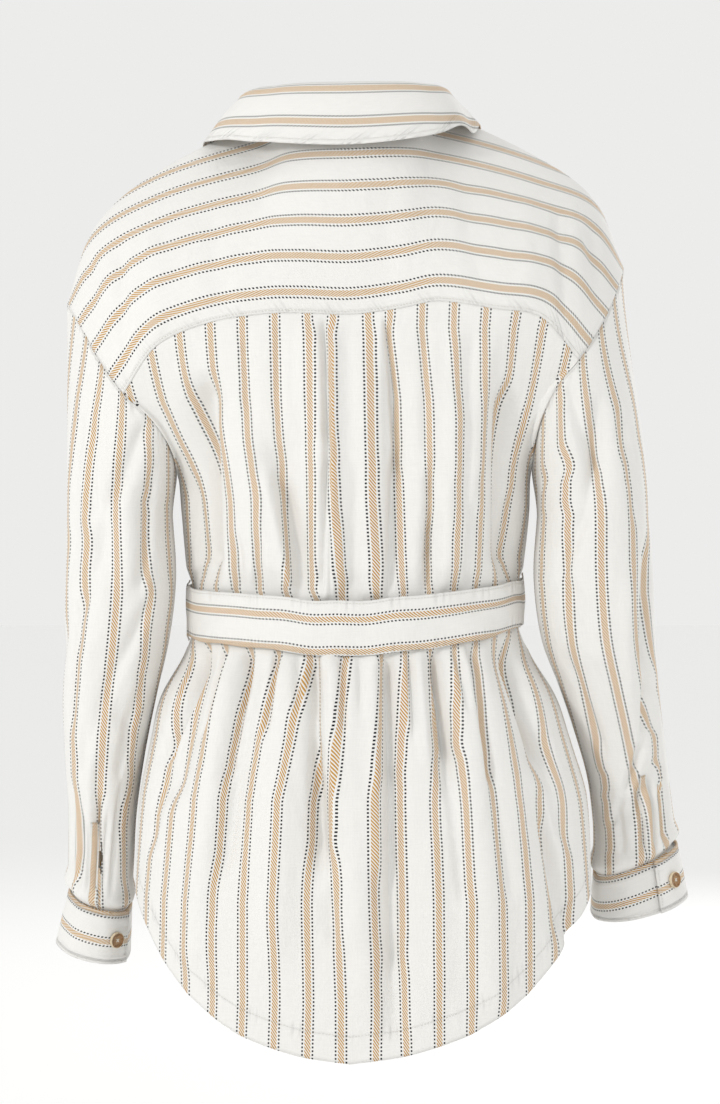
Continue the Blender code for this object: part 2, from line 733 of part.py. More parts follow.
def sleeve_points(side, sides, cap_rows, rows_per_section):
    """The sleeve from its armhole to the cuff. X runs out from the body, before it is mirrored."""
    angles = np.linspace(0, 2 * math.pi, sides, endpoint=False)
    sections = len(SLEEVE[side]) - 1
    rows = np.linspace(0, sections, sections * rows_per_section + 1)
    tube, out = sleeve_ring(SLEEVE[side], SLEEVE_COLUMNS, angles, rows)
    hole = through(ARMHOLE[side], angles / (2 * math.pi) * len(ARMHOLE[side]), closed=True)
    inner = ease((-np.cos(angles) + 0.35) / 0.9)
    apart = CAP_GAP_OUTSIDE + (CAP_GAP_INSIDE - CAP_GAP_OUTSIDE) * inner
    hole = hole + apart[:, None] * np.array(CAP_AWAY)
    share = np.linspace(0, 1, cap_rows + 1)[:-1, None, None]
    soft = ease(share)
    cap = hole[None] * (1 - share) + tube[:1] * share
    cap[..., :2] = hole[None, :, :2] * (1 - soft) + tube[:1, :, :2] * soft
    grid = np.concatenate([cap, tube], 0)
    out = np.concatenate([np.repeat(out[:1], cap_rows, 0), out], 0)
    rise = sleeve_rise(side, angles, grid[..., 2])
    down = np.arange(len(grid))[:, None]
    rise = rise * ease(down / 3) * ease((len(grid) - 1 - down) / 3)
    grid = grid + out * rise[..., None]
    sign = 1 if side == "left" else -1
    return grid * (sign, 1, 1) * MM, out * (sign, 1, 1)


def cuff_points(side, steps, rows):
    """The cuff as one band that laps over itself at its button."""
    start = CUFF_START[side]
    degrees = np.linspace(start, start + 360 + CUFF_LAP, steps)
    angles = np.radians(degrees)
    at = np.linspace(0, len(CUFF[side]) - 1, rows)
    grid, out = sleeve_ring(CUFF[side], CUFF_COLUMNS, angles, at)
    half_wall = DOUBLE_CLOTH / MM / 2
    lift = (degrees - start) / (360 + CUFF_LAP)
    reach = (DOUBLE_CLOTH + LAYER_GAP) / MM + CUFF_CLEAR
    rise = half_wall + reach * ease((lift - CUFF_LIFT_FROM) / CUFF_LIFT_OVER)
    grid = grid + out * rise[None, :, None]
    sign = 1 if side == "left" else -1
    return grid * (sign, 1, 1) * MM, out * (sign, 1, 1)


def belt_points(steps, rows):
    """The belt round the waist, outside the pressed cloth."""
    turn = np.linspace(-2, 2, steps, endpoint=False)
    middle, width = belt_at(turn)
    across = np.linspace(0.5, -0.5, rows)[:, None]
    z = middle + width * across
    points, normals = body_ring(np.broadcast_to(turn, z.shape), np.broadcast_to(middle, z.shape))
    points = points.copy()
    points[..., 2] = z
    form = body_ring(np.broadcast_to(turn, z.shape), z)[0]
    bulge = np.maximum(((form - points) * normals).sum(-1), 0).max(0)
    band = BELT_OVER_BAND * (1 - ease((2 - np.abs(turn) - 0.05) / 0.15))
    return (points + normals * (BELT_EASE + bulge + band)[..., None]) * MM


def disc(name, centre, facing, material, collection):
    """A round button with a bevelled rim."""
    mesh = bmesh.new()
    bmesh.ops.create_cone(mesh, cap_ends=True, segments=BUTTON_SIDES, radius1=BUTTON_RADIUS * MM,
                          radius2=BUTTON_RADIUS * MM, depth=BUTTON_THICK * MM)
    data = bpy.data.meshes.new(name)
    mesh.to_mesh(data)
    mesh.free()
    made = add_object(name, data, material, collection)
    made.rotation_mode = "QUATERNION"
    made.rotation_quaternion = Vector(facing).to_track_quat("Z", "Y")
    made.location = Vector(centre) + Vector(facing).normalized() * BUTTON_THICK * MM / 2
    rim = made.modifiers.new("Rim", "BEVEL")
    rim.width = BUTTON_RIM * MM
    rim.segments = 1
    rim.limit_method = "ANGLE"
    return made


def make_yoke(material, collection):
    grid, kept = yoke_points(YOKE_COLUMNS_PER_SECTION, YOKE_BACK_ROWS, YOKE_FRONT_ROWS)
    grid = trimmed(grid, 0, SEAM_GAP, SEAM_GAP)
    cloth_sheet("back_yoke", grid, CLOTH, material, collection, kept=kept)


def make_back(material, collection):
    turns = column_turns(BACK_STOPS, BACK_COLUMNS)
    grid = panel(turns, back_top(turns), back_leans(turns))
    grid = trimmed(grid, 0, SEAM_GAP, 0)
    grid = trimmed(grid, 1, SEAM_GAP, SEAM_GAP)
    cloth_sheet("back_panel", grid, CLOTH, material, collection)


def front_grid(side):
    away = column_turns(FRONT_STOPS, FRONT_COLUMNS)
    sign = 1 if side == "left" else -1
    layer = -LAP_LAYER if side == "left" else LAP_LAYER
    return panel(sign * away, front_top(side, away), front_leans(side, away), layer)


def make_fronts(material, collection):
    for side in ("left", "right"):
        grid = trimmed(front_grid(side), 0, SEAM_GAP, 0)
        grid = trimmed(grid, 1, SEAM_GAP, 0)
        cloth_sheet("front_" + side, grid, CLOTH, material, collection)


def make_sleeves(material, collection):
    for side in ("left", "right"):
        grid, out = sleeve_points(side, SLEEVE_SIDES, SLEEVE_CAP_ROWS, SLEEVE_ROWS_PER_SECTION)
        out = grid_normals(grid, out)
        cloth_sheet("sleeve_" + side, grid, CLOTH, material, collection, closed=True)
        make_placket(side, grid, out, material, collection)


def make_placket(side, grid, out, material, collection):
    """The strip beside the sleeve's slit, on the sleeve's own points moved out."""
    sides = grid.shape[1]
    rows_down = len(grid) - 2
    step = 360 / sides
    middle = PLACKET_TURN[side] / step
    columns = middle + np.linspace(-PLACKET_HALF_TURN, PLACKET_HALF_TURN, 3) / step
    level = grid[:, int(round(middle)), 2]
    first = int(np.searchsorted(-level, -(level[-1] + PLACKET_LENGTH * MM)))
    low = np.floor(columns).astype(int)
    part = (columns - low)[None, :, None]
    picked = grid[first:rows_down + 1]
    strip = picked[:, low % sides] * (1 - part) + picked[:, (low + 1) % sides] * part
    away = out[first:rows_down + 1][:, low % sides]
    strip = strip + away * (CLOTH + LAYER_GAP + PLACKET_EASE)
    cloth_sheet("placket_" + side, strip, CLOTH, material, collection)


def make_cuffs(material, button, collection):
    for side in ("left", "right"):
        grid, out = cuff_points(side, CUFF_STEPS, CUFF_ROWS)
        cloth_sheet("cuff_" + side, grid, DOUBLE_CLOTH, material, collection)
        middle = slice(CUFF_ROWS // 2 - 1, CUFF_ROWS // 2 + 1)
        place = grid[middle, CUFF_BUTTON_COLUMN].mean(0)
        facing = grid_normals(grid, out)[middle, CUFF_BUTTON_COLUMN].mean(0)
        centre = place + facing * (DOUBLE_CLOTH / 2 + LAYER_GAP)
        disc("cuff_button_" + side, centre, facing, button, collection)


def neck_seam():
    """The neck seam from the left front edge round the back to the right front edge."""
    grid = yoke_points(YOKE_COLUMNS_PER_SECTION, YOKE_BACK_ROWS, YOKE_FRONT_ROWS)[0]
    first = NECK_LEFT * YOKE_COLUMNS_PER_SECTION
    last = NECK_RIGHT * YOKE_COLUMNS_PER_SECTION
    down = np.linspace(0, len(FRONT_NECK["left"]) - 1, 24)
    left = through(FRONT_NECK["left"], down)[::-1]
    right = through(FRONT_NECK["right"], down) * (-1, 1, 1)
    middle = [grid[:YOKE_BACK_ROWS:-1, first], grid[YOKE_BACK_ROWS, first:last + 1],
              grid[YOKE_BACK_ROWS + 1:, last]]
    middle = np.concatenate(middle, 0) / MM
    return np.concatenate([left, middle[1:-1], right], 0)


def at_shares(points, shares):
    """Points at these shares of a line's length."""
    steps = np.linalg.norm(np.diff(points, axis=0), axis=1)
    lengths = np.concatenate([[0], np.cumsum(steps)]) / steps.sum()
    return np.stack([np.interp(shares, lengths, points[:, i]) for i in range(3)], -1)


def make_collar(material, collection):
    table = np.array(COLLAR, float)
    sections = len(COLLAR) - 1
    at = np.linspace(0, sections, sections * COLLAR_COLUMNS_PER_SECTION + 1)
    values = through(table, at)
    seam = at_shares(neck_seam(), values[:, 0])
    fold, edge = values[:, 1:4], values[:, 4:7]
    rise = (fold - seam) / np.linalg.norm(fold - seam, axis=-1, keepdims=True)
    inward = np.array([0, NECK_MIDDLE_Y, 0]) - seam * (1, 1, 0)
    inward = inward / np.linalg.norm(inward, axis=-1, keepdims=True)
    base = seam + rise * STAND_SEAT + inward * STAND_INSET
    top = fold - rise * STAND_UNDER_FOLD
    share = np.linspace(0, 1, STAND_ROWS + 1)[:, None, None]
    cloth_sheet("collar_stand", (base * (1 - share) + top * share) * MM, CLOTH, material, collection)
    share = np.linspace(0, 1, FALL_ROWS + 1)[:, None, None]
    outward = edge - fold
    outward[:, 2] = 0
    outward = outward / np.linalg.norm(outward, axis=-1, keepdims=True)
    lift = FALL_BULGE * np.sin(math.pi * share**0.6)
    fall = fold * (1 - share) + edge * share + outward * lift
    cloth_sheet("collar_fall", fall * MM, CLOTH, material, collection)


def make_belt(material, thread, collection):
    grid = belt_points(BELT_STEPS, BELT_ROWS_ACROSS)
    cloth_sheet("belt", grid, DOUBLE_CLOTH, material, collection, closed=True)
    front = Vector(grid[:, 0].mean(0))
    face = front.y - DOUBLE_CLOTH / 2 - LAYER_GAP
    make_knot(front, face, material, collection)
    for side in ("left", "right"):
        make_belt_end(side, front, face, material, collection)
        make_loop(side, thread, collection)


def make_knot(front, face, material, collection):
    """A rounded block for the belt's tie."""
    mesh = bmesh.new()
    bmesh.ops.create_cube(mesh, size=1, matrix=Matrix.Diagonal((*[s * MM for s in KNOT_SIZE], 1)))
    data = bpy.data.meshes.new("belt_knot")
    mesh.to_mesh(data)
    mesh.free()
    made = add_object("belt_knot", data, material, collection)
    made.location = (front.x, face - KNOT_SIZE[1] * MM / 2, front.z)
    soft = made.modifiers.new("Rounded", "BEVEL")
    soft.width = KNOT_ROUNDING * MM
    soft.segments = 3


def front_face(x, z):
    """How far forward the smooth body form lies at this place near the centre front."""
    table = through(BODY, row_number(column(BODY, BODY_COLUMNS, "z"), z))
    half_width = np.where(x >= 0, table[..., 1], table[..., 2])
    inside = 1 - (np.abs(x) / half_width) ** table[..., 5]
    return SIDE_SEAM_Y + (table[..., 4] - SIDE_SEAM_Y) * inside ** (1 / table[..., 5])


def make_belt_end(side, front, face, material, collection):
    """One free end of the belt, hanging from under the knot and lying on the front."""
    sign = 1 if side == "left" else -1
    share = np.linspace(0, 1, BELT_END_ROWS)[:, None]
    across = np.linspace(-0.5, 0.5, 3)[None]
    narrow = 0.5 + 0.5 * ease(share / 0.3)
    middle = front.x / MM + sign * 8 * (1 - share) + BELT_END_LEAN[side] * share
    x = middle + BELT_END_WIDTH * across * narrow
    z = front.z / MM - KNOT_SIZE[2] / 2 - 0.4 - BELT_END_LENGTHS[side] * share + 0 * across
    layer = BELT_END_CLEAR + (BELT_END_LAYER if side == "left" else 0)
    lying = front_face(middle, z) - layer
    hanging = face / MM - KNOT_SIZE[1] / 2 + BELT_END_LAYER / 2
    hanging -= BELT_END_LAYER if side == "left" else 0
    y = np.minimum(lying, hanging + 12 * share)
    grid = np.stack([x, y, z], -1)
    cloth_sheet("belt_end_" + side, grid * MM, DOUBLE_CLOTH, material, collection)


def make_loop(side, material, collection):
    """A thread belt loop at the side seam, as a thin tube over the belt."""
    turn = 1.0 if side == "left" else -1.0
    middle, width = belt_at(np.array([turn]))
    span = width[0] / 2 + LOOP_REACH
    share = np.linspace(-1, 1, LOOP_POINTS)
    z = middle[0] + span * share
    points, normals = body_ring(np.full(LOOP_POINTS, turn), z)
    near = CLOTH / MM / 2 + LOOP_RADIUS + LOOP_FOOT_GAP
    under_belt_x = np.abs(body_ring(np.array([turn]), middle)[0][0, 0])
    over = under_belt_x + BELT_EASE + DOUBLE_CLOTH / MM / 2 + LOOP_RADIUS + LOOP_OVER_BELT
    path = points + normals * near
    outer = np.maximum(np.abs(path[:, 0]), np.where(np.abs(share) < LOOP_FOOT_SHARE, over, 0))
    path[:, 0] = np.sign(turn) * outer
    curve = bpy.data.curves.new("belt_loop_" + side, "CURVE")
    curve.dimensions = "3D"
    curve.bevel_depth = LOOP_RADIUS * MM
    curve.bevel_resolution = 1
    curve.use_fill_caps = True
    spline = curve.splines.new("POLY")
    spline.points.add(LOOP_POINTS - 1)
    for place, point in zip(spline.points, path * MM):
        place.co = (*point, 1)
    add_object("belt_loop_" + side, curve, material, collection)


def make_front_buttons(material, collection):
    """Buttons on the right front's band, at their levels down the centre front."""
    grid = front_grid("right")
    turns = column_turns(FRONT_STOPS, FRONT_COLUMNS)
    at = np.interp(CENTRE_FRONT_TURN, turns, np.arange(len(turns)))
    low = int(at)
    line = grid[:, low] * (1 - at + low) + grid[:, low + 1] * (at - low)
    across = grid[:, low + 1] - grid[:, low]
    for number, level in enumerate(FRONT_BUTTON_LEVELS, 1):
        row = int(np.searchsorted(-line[:, 2], -level * MM)) - 1
        part = (line[row, 2] - level * MM) / (line[row, 2] - line[row + 1, 2])
        point = line[row] * (1 - part) + line[row + 1] * part
        facing = np.cross(line[row + 1] - line[row], across[row])
        facing = facing / np.linalg.norm(facing)
        facing = facing * (1 if facing[1] < 0 else -1)
        centre = point + facing * (CLOTH / 2 + LAYER_GAP)
        disc(f"front_button_{number}", centre, facing, material, collection)


def main():
    for old in list(bpy.data.objects):
        bpy.data.objects.remove(old)
    collection = bpy.data.collections.new("shacket")
    bpy.context.scene.collection.children.link(collection)
    cloth, thread, button = (make_material(name) for name in ("cloth", "thread", "button"))
    make_yoke(cloth, collection)
    make_back(cloth, collection)
    make_fronts(cloth, collection)
    make_collar(cloth, collection)
    make_sleeves(cloth, collection)
    make_cuffs(cloth, button, collection)
    make_belt(cloth, thread, collection)
    make_front_buttons(button, collection)


main()
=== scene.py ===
"""Dresses the striped shirt jacket's frame: its cloth, sewing, buttons, belt, light and camera.

The surfaces repeat the part's own tables and functions at a finer step, and add the creases.
Tables are in millimetres, meshes in metres. The back faces +Y and the wearer's left is +X.
"""

import math

import bmesh
import bpy
import numpy as np
from bpy.props import FloatProperty, FloatVectorProperty, PointerProperty
from mathutils import Matrix, Vector


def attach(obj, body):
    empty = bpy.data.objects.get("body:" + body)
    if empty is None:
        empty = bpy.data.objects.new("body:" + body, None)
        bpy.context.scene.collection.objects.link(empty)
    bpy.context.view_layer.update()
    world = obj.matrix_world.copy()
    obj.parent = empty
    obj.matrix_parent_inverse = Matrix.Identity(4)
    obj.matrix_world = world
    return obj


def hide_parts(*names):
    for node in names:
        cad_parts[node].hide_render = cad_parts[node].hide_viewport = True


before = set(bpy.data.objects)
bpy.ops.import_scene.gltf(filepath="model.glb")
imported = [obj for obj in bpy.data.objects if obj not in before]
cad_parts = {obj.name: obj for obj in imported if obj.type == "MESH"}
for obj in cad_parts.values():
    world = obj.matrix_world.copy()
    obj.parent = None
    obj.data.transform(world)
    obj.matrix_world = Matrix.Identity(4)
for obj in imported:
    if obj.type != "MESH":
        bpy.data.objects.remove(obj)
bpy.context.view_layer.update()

bl_info = {
    "name": "Striped shirt jacket",
    "version": (1, 0, 0),
    "blender": (4, 5, 0),
    "location": "View3D > Sidebar > Jacket",
    "description": "Makes the cloth, sewing, buttons and belt of a striped shirt jacket",
    "category": "Object",
}

# Each side's sign along X.
SIGNS = {"left": 1, "right": -1}

# A millimetre, the cloth's thickness, single and double, and the gap between two layers, in metres.
MM = 0.001
CLOTH = 0.9 * MM
DOUBLE_CLOTH = 2.0 * MM
LAYER_GAP = 0.35 * MM

# Rows and columns of the fine grids.
TOP_ROWS = 40
WAIST_ROWS = 22
BELT_ROWS = 8
SKIRT_ROWS = 78
YOKE_COLUMNS_PER_SECTION = 18
YOKE_BACK_ROWS = 44
YOKE_FRONT_ROWS = 24
SLEEVE_SIDES = 132
SLEEVE_CAP_ROWS = 32
SLEEVE_ROWS_PER_SECTION = 14
COLLAR_COLUMNS_PER_SECTION = 16

# Sections of the body, level by level. Left and right are distances from the middle.
BODY_COLUMNS = ("z", "left", "right", "back", "front", "squareness")
BODY = (
    (-100, 205, 205, 32, -165, 2.6),
    (-160, 208, 206, 36, -178, 2.7),
    (-227, 192, 192, 34, -192, 2.7),
    (-258, 164, 170, 30, -197, 2.6),
    (-290, 151, 158, 26, -200, 2.6),
    (-330, 147, 156, 20, -198, 2.5),
    (-376, 143, 151, 12, -190, 2.4),
    (-394, 137, 145, 6, -183, 2.3),
    (-422, 136, 145, 5, -182, 2.3),
    (-448, 143, 155, 10, -186, 2.3),
    (-489, 165, 179, 26, -200, 2.3),
    (-527, 174, 192, 34, -210, 2.35),
    (-574, 183, 206, 39, -216, 2.4),
    (-642, 187, 210, 41, -218, 2.4),
    (-700, 188, 212, 41, -216, 2.4),
    (-800, 189, 213, 40, -214, 2.4),
)
SIDE_SEAM_Y = -88

# The shirt-tail hem. Turn is 0 at the centre back, 1 at a side seam and 2 at the centre front.
HEM_COLUMNS = ("turn", "z")
HEM = (
    (0.0, -796),
    (0.16, -790),
    (0.29, -780),
    (0.40, -767),
    (0.55, -740),
    (0.66, -712),
    (0.77, -683),
    (0.88, -662),
    (1.0, -652),
    (1.12, -662),
    (1.25, -690),
    (1.42, -722),
    (1.6, -744),
    (1.8, -758),
    (2.2, -762),
)

# The armhole seams, once round: 0 on top of the shoulder, 3 where the back yoke ends,
# 6 under the arm and 10 where the yoke ends in front. The columns are the distance out to that
# side, y and z.
ARMHOLE = {
    "left": (
        (245, -62, -147),
        (233, -30, -164),
        (217, -10, -195),
        (194, 2, -227),
        (172, -3, -247),
        (156, -24, -268),
        (151, -75, -290),
        (158, -125, -270),
        (176, -140, -240),
        (202, -134, -205),
        (226, -112, -172),
        (241, -88, -152),
    ),
    "right": (
        (237, -62, -116),
        (230, -30, -136),
        (217, -10, -165),
        (196, 2, -198),
        (178, -3, -220),
        (163, -24, -252),
        (158, -75, -285),
        (164, -125, -262),
        (178, -140, -226),
        (200, -134, -180),
        (222, -112, -145),
        (234, -88, -122),
    ),
}
BACK_CORNER = 3
UNDERARM = 6
FRONT_CORNER = 10

# The yoke from the left shoulder's end to the right one's: a point on its back seam, one on the
# shoulder's ridge or on the neck seam, and one on its front seam.
YOKE_COLUMNS = ("seam_x", "seam_y", "seam_z", "top_x", "top_y", "top_z",
                "front_x", "front_y", "front_z")
YOKE = (
    (194, 2, -227, 245, -62, -147, 226, -112, -172),
    (164, 23, -187, 222, -62, -82, 196, -122, -118),
    (119, 34, -168, 172, -62, -36, 150, -118, -74),
    (74, 37, -161, 84, -62, 8, 80, -104, -26),
    (42, 37, -160, 50, -18, 4, 0, 0, 0),
    (0, 35, -161, 0, 0, 0, 0, 0, 0),
    (-42, 37, -156, -50, -18, 6, 0, 0, 0),
    (-76, 37, -150, -82, -62, 16, -78, -104, -18),
    (-122, 34, -156, -165, -62, -22, -146, -118, -62),
    (-163, 23, -163, -212, -62, -58, -188, -122, -94),
    (-196, 2, -198, -237, -62, -116, -222, -112, -145),
)
NECK_LEFT = 3
NECK_RIGHT = 7

# Half of the neck seam in front of the yoke, from its end to the centre front, as points whose x
# is the distance out to that side.
FRONT_NECK = {
    "left": ((80, -104, -26), (66, -126, -52), (42, -142, -78), (16, -149, -92), (-18, -149, -93)),
    "right": ((78, -104, -18), (65, -126, -48), (42, -142, -76), (16, -149, -92), (-18, -149, -93)),
}

# The turns at which a panel's top edge passes from one seam to the next.
BACK_YOKE_TURN = 0.72
FRONT_ARMHOLE_TURN = 1.30
FRONT_YOKE_TURN = 1.66
CENTRE_FRONT_TURN = 2.0
BAND_TURN = 2.07

# The fronts part by a layer each way from this turn on, where the right one laps over the left.
LAP_TURN = 1.84
LAP_RAMP = 0.06
LAP_LAYER = 0.9

# A panel is shaped by its top edge down to the landing, and by the body's sections below it.
LANDING_Z = -306
LANDING_STEP = 12.0
BACK_PLUMB = (0, 0.05, -1)
FRONT_PLUMB = (0, -0.45, -0.9)
SIDE_PLUMB = (-0.05, 0, -1)
BACK_CORNER_LEAN = (-0.88, -0.16, -0.56)
FRONT_CORNER_LEAN = (-0.62, -0.50, -0.62)
BELT_MARGIN = 4

# The largest folds. Face is 1 on the back and -1 on the front. A positive rise stands out.
FOLD_COLUMNS = ("face", "x_top", "z_top", "x_bottom", "z_bottom", "rise", "half_width")
FOLDS = (
    (1, 30, -170, 18, -660, 4.5, 8),
    (1, 21, -170, 22, -560, 4.5, 8),
    (1, -9, -170, -26, -640, 4.5, 10),
    (1, 12, -176, 16, -380, 4.0, 18),
    (1, -38, -200, -40, -386, -8.0, 13),
    (1, 122, -214, 122, -386, -14.0, 14),
    (1, 92, -250, 66, -386, 6.0, 18),
    (1, 62, -270, 40, -386, -9.0, 14),
    (1, -72, -330, -68, -386, -9.0, 8),
    (1, -92, -230, -90, -386, 6.0, 16),
    (1, -133, -222, -136, -386, -12.0, 14),
    (1, 28, -450, 24, -640, -12.0, 9),
    (1, 5, -450, -2, -700, 6.5, 16),
    (1, -31, -450, -36, -780, -9.0, 11),
    (1, 56, -450, 62, -700, 6.0, 18),
    (1, 84, -446, 108, -640, -10.0, 13),
    (1, 122, -442, 158, -580, -11.0, 13),
    (1, 104, -444, 132, -720, 6.0, 15),
    (1, -68, -446, -84, -570, -10.0, 8),
    (1, -96, -446, -124, -760, 6.5, 18),
    (1, -130, -440, -168, -560, -11.0, 12),
    (1, -160, -560, -186, -700, -8.0, 12),
    (-1, 122, -200, 104, -386, -10.0, 15),
    (-1, 62, -190, 54, -386, -8.0, 16),
    (-1, -60, -210, -52, -386, -8.0, 16),
    (-1, -118, -214, -104, -386, -10.0, 15),
    (-1, 88, -440, 112, -640, -10.0, 15),
    (-1, 46, -440, 58, -720, -8.0, 13),
    (-1, -50, -440, -64, -700, -8.0, 13),
    (-1, -96, -440, -124, -620, -10.0, 15),
)
FOLD_FADE = 34
FOLD_START = 30
SEAM_CALM_TURN = 0.12

# The belt's middle line and its width, round the waist.
BELT_COLUMNS = ("turn", "z", "width")
BELT = (
    (-2.0, -414, 46),
    (-1.5, -408, 44),
    (-1.0, -405, 38),
    (-0.5, -418, 45),
    (0.0, -428, 47),
    (0.5, -421, 45),
    (1.0, -414, 43),
    (1.5, -412, 45),
    (2.0, -414, 46),
)
BELT_EASE = 3.9
BELT_OVER_BAND = 1.2
BELT_WAVE = 0.9
BELT_RIPPLE = 0.35
BELT_SWAY = 0.8
BELT_EDGE_SWAY = 0.5

# The lengthwise fold at the belt's right end: its depth, and its half width as a share of the
# belt's width.
BELT_CREASE = 2.6
BELT_CREASE_WIDTH = 0.06

# Sections of the sleeves from the armpit down, and of the cuffs. Roll and pitch are the ring's
# rise to its outer and back side.
SLEEVE_COLUMNS = ("z", "outer", "inner", "y", "half_depth", "roll", "pitch")
SLEEVE = {
    "left": (
        (-332, 246, 155, -68, 60, 0, 0),
        (-385, 247, 152, -66, 56, 0, 0),
        (-438, 249, 158, -72, 52, 0, 0),
        (-489, 251, 170, -84, 49, 0, 0),
        (-540, 250, 181, -102, 47, 0.03, -0.04),
        (-591, 248, 189, -118, 46, 0.08, -0.10),
        (-634, 249, 192, -130, 44, 0.18, -0.18),
        (-655, 249, 194, -135, 41, 0.24, -0.24),
        (-666, 247, 196, -138, 36, 0.28, -0.28),
    ),
    "right": (
        (-332, 259, 163, -68, 60, 0, 0),
        (-385, 263, 160, -66, 56, 0, 0),
        (-438, 265, 167, -72, 52, 0, 0),
        (-480, 269, 183, -86, 48, 0, 0),
        (-518, 274, 197, -102, 46, 0.05, -0.03),
        (-556, 279, 209, -118, 45, 0.12, -0.08),
        (-592, 284, 215, -132, 44, 0.26, -0.14),
        (-620, 287, 216, -139, 41, 0.38, -0.20),
        (-632, 285, 218, -142, 37, 0.42, -0.22),
    ),
}
SLEEVE_SQUARENESS = 2.15
CAP_AWAY = (0.84, 0, -0.55)
CAP_GAP = 0.4
SLEEVE_FOLD_COLUMNS = ("angle_top", "z_top", "angle_bottom", "z_bottom", "rise", "half_angle")
SLEEVE_FOLDS = {
    "left": (
        (60, -300, 95, -420, -5.0, 16),
        (110, -330, 60, -470, 3.0, 18),
        (70, -440, 120, -520, -4.0, 18),
        (85, -540, 88, -640, -3.5, 10),
        (50, -560, 60, -640, -3.0, 10),
        (240, -330, 290, -440, -5.0, 18),
        (300, -460, 250, -560, -4.0, 18),
        (20, -420, 330, -520, -3.5, 16),
    ),
    "right": (
        (75, -250, 110, -340, -6.0, 16),
        (30, -360, 42, -540, -5.0, 12),
        (42, -540, 105, -600, -6.0, 14),
        (100, -420, 80, -520, 3.0, 18),
        (240, -330, 290, -440, -5.0, 18),
        (300, -460, 250, -560, -4.0, 18),
    ),
}
CUFF = {
    "left": (
        (-667.0, 247, 196, -138, 36, 0.28, -0.28),
        (-690, 253, 197, -143, 38, 0.26, -0.27),
        (-713, 259, 198, -148, 40, 0.22, -0.26),
    ),
    "right": (
        (-633.0, 285, 218, -142, 37, 0.42, -0.22),
        (-653, 290, 217, -146, 39, 0.34, -0.25),
        (-674, 295, 216, -150, 41, 0.24, -0.28),
    ),
}

# The cuff: the degree where it starts, how many degrees it laps, how far it stands off its table
# and over its own start, the share of its turn where it lifts to do so, and how many columns its
# button stands from its end.
CUFF_START = {"left": 118, "right": 40}
CUFF_LAP = 28
CUFF_CLEAR = 1.2
CUFF_RISE = 1.2
CUFF_RIPPLE = 0.7
CUFF_BUTTON_STEPS = 17
CUFF_EDGE = 3
CUFF_LIFT_FROM = 0.72
CUFF_LIFT_OVER = 0.2

# The placket: its middle and half width in degrees, its length, and how many rows of the sleeve
# it stops short of the cuff.
PLACKET_TURN = {"left": 84, "right": 72}
PLACKET_HALF_TURN = 7
PLACKET_LENGTH = 78
PLACKET_COLUMNS = 9
PLACKET_ROWS_SHORT = 3

# Collar sections from the left point round the back to the right point: how far round the neck
# seam the section stands, then its points on the fold and on the edge.
COLLAR = (
    (0.055, 24, -154, -58, 60, -174, -138),
    (0.19, 68, -128, -18, 112, -156, -84),
    (0.33, 88, -60, 31, 127, -60, 5),
    (0.42, 60, -12, 37, 80, 9, -12),
    (0.50, 0, 5, 38, 0, 25, -17),
    (0.58, -58, -12, 39, -76, 9, -6),
    (0.67, -80, -60, 34, -112, -60, 15),
    (0.81, -66, -128, -14, -106, -156, -78),
    (0.945, -24, -154, -56, -60, -174, -136),
)
NECK_MIDDLE_Y = -70

# How far the stand's foot is off the neck seam, up and in, how far its top stays under the fold,
# how far the fall bulges out, and the small roll beside the fold.
STAND_SEAT = 0.4
STAND_INSET = 0.2
STAND_UNDER_FOLD = 0.8
FALL_BULGE = 6
FALL_CROWN = 1.6
FALL_CROWN_SHARE = 0.16

# Buttons. The turned face goes from the rim inwards: each step's share of the radius, and how far
# it sinks. The other shares of the radius are where the rim and the ring begin, the place and
# size of the four holes, and the thickness and length of the thread bars.
BUTTON_RADIUS = 7.2
BUTTON_THICK = 2.6
BUTTON_SIDES = 56
BUTTON_TURNING = ((0.10, 0), (0.14, -0.05), (0.10, -0.30), (0.16, -0.05))
BUTTON_BEVEL = 0.45
BUTTON_EDGE = 0.985
BUTTON_RIM_FROM = 0.86
BUTTON_RING_FROM = 0.52
HOLE_PLACE = 0.19
HOLE_SIZE = 0.085
BAR_SIZE = 0.07
BAR_LENGTH = 0.46
BAR_SINK = 0.4
BUTTON_SHANK = 0.35
FRONT_BUTTON_LEVELS = (-115, -198, -281, -364, -486, -574, -662)

# The knot: a rounded block whose roundness is a power, pinched round its middle.
KNOT_SIZE = (44, 24, 40)
KNOT_COLUMNS = 97
KNOT_ROWS = 49
KNOT_POLE = 0.02
KNOT_POWER = 0.55
KNOT_PINCH = 0.16
KNOT_CLOTH = 0.6 * MM

# The belt's hanging ends: where they go sideways, how far they stay off the front and each other,
# and the share of their length over which they spread out and lose their gathers.
BELT_END_WIDTH = 40
BELT_END_LENGTHS = {"left": 250, "right": 285}
BELT_END_LEAN = {"left": 26, "right": -30}
BELT_END_CLEAR = 9
BELT_END_LAYER = 4.0
BELT_END_START = 8
BELT_END_DROP = 0.4
BELT_END_FALL = 12
BELT_END_SPREAD = 0.3
BELT_END_GATHERED = 0.35
BELT_END_GATHER = 1.5

# The thread loops: three twisted strands that stand off the cloth, and over the belt.
LOOP_RADIUS = 0.8
LOOP_STEPS = 90
LOOP_TWIST = 40
STRAND_RADIUS = 0.42
STRAND_SIDES = 8
LOOP_REACH = 5
LOOP_FOOT_GAP = 0.3
LOOP_OVER_BELT = 1.2

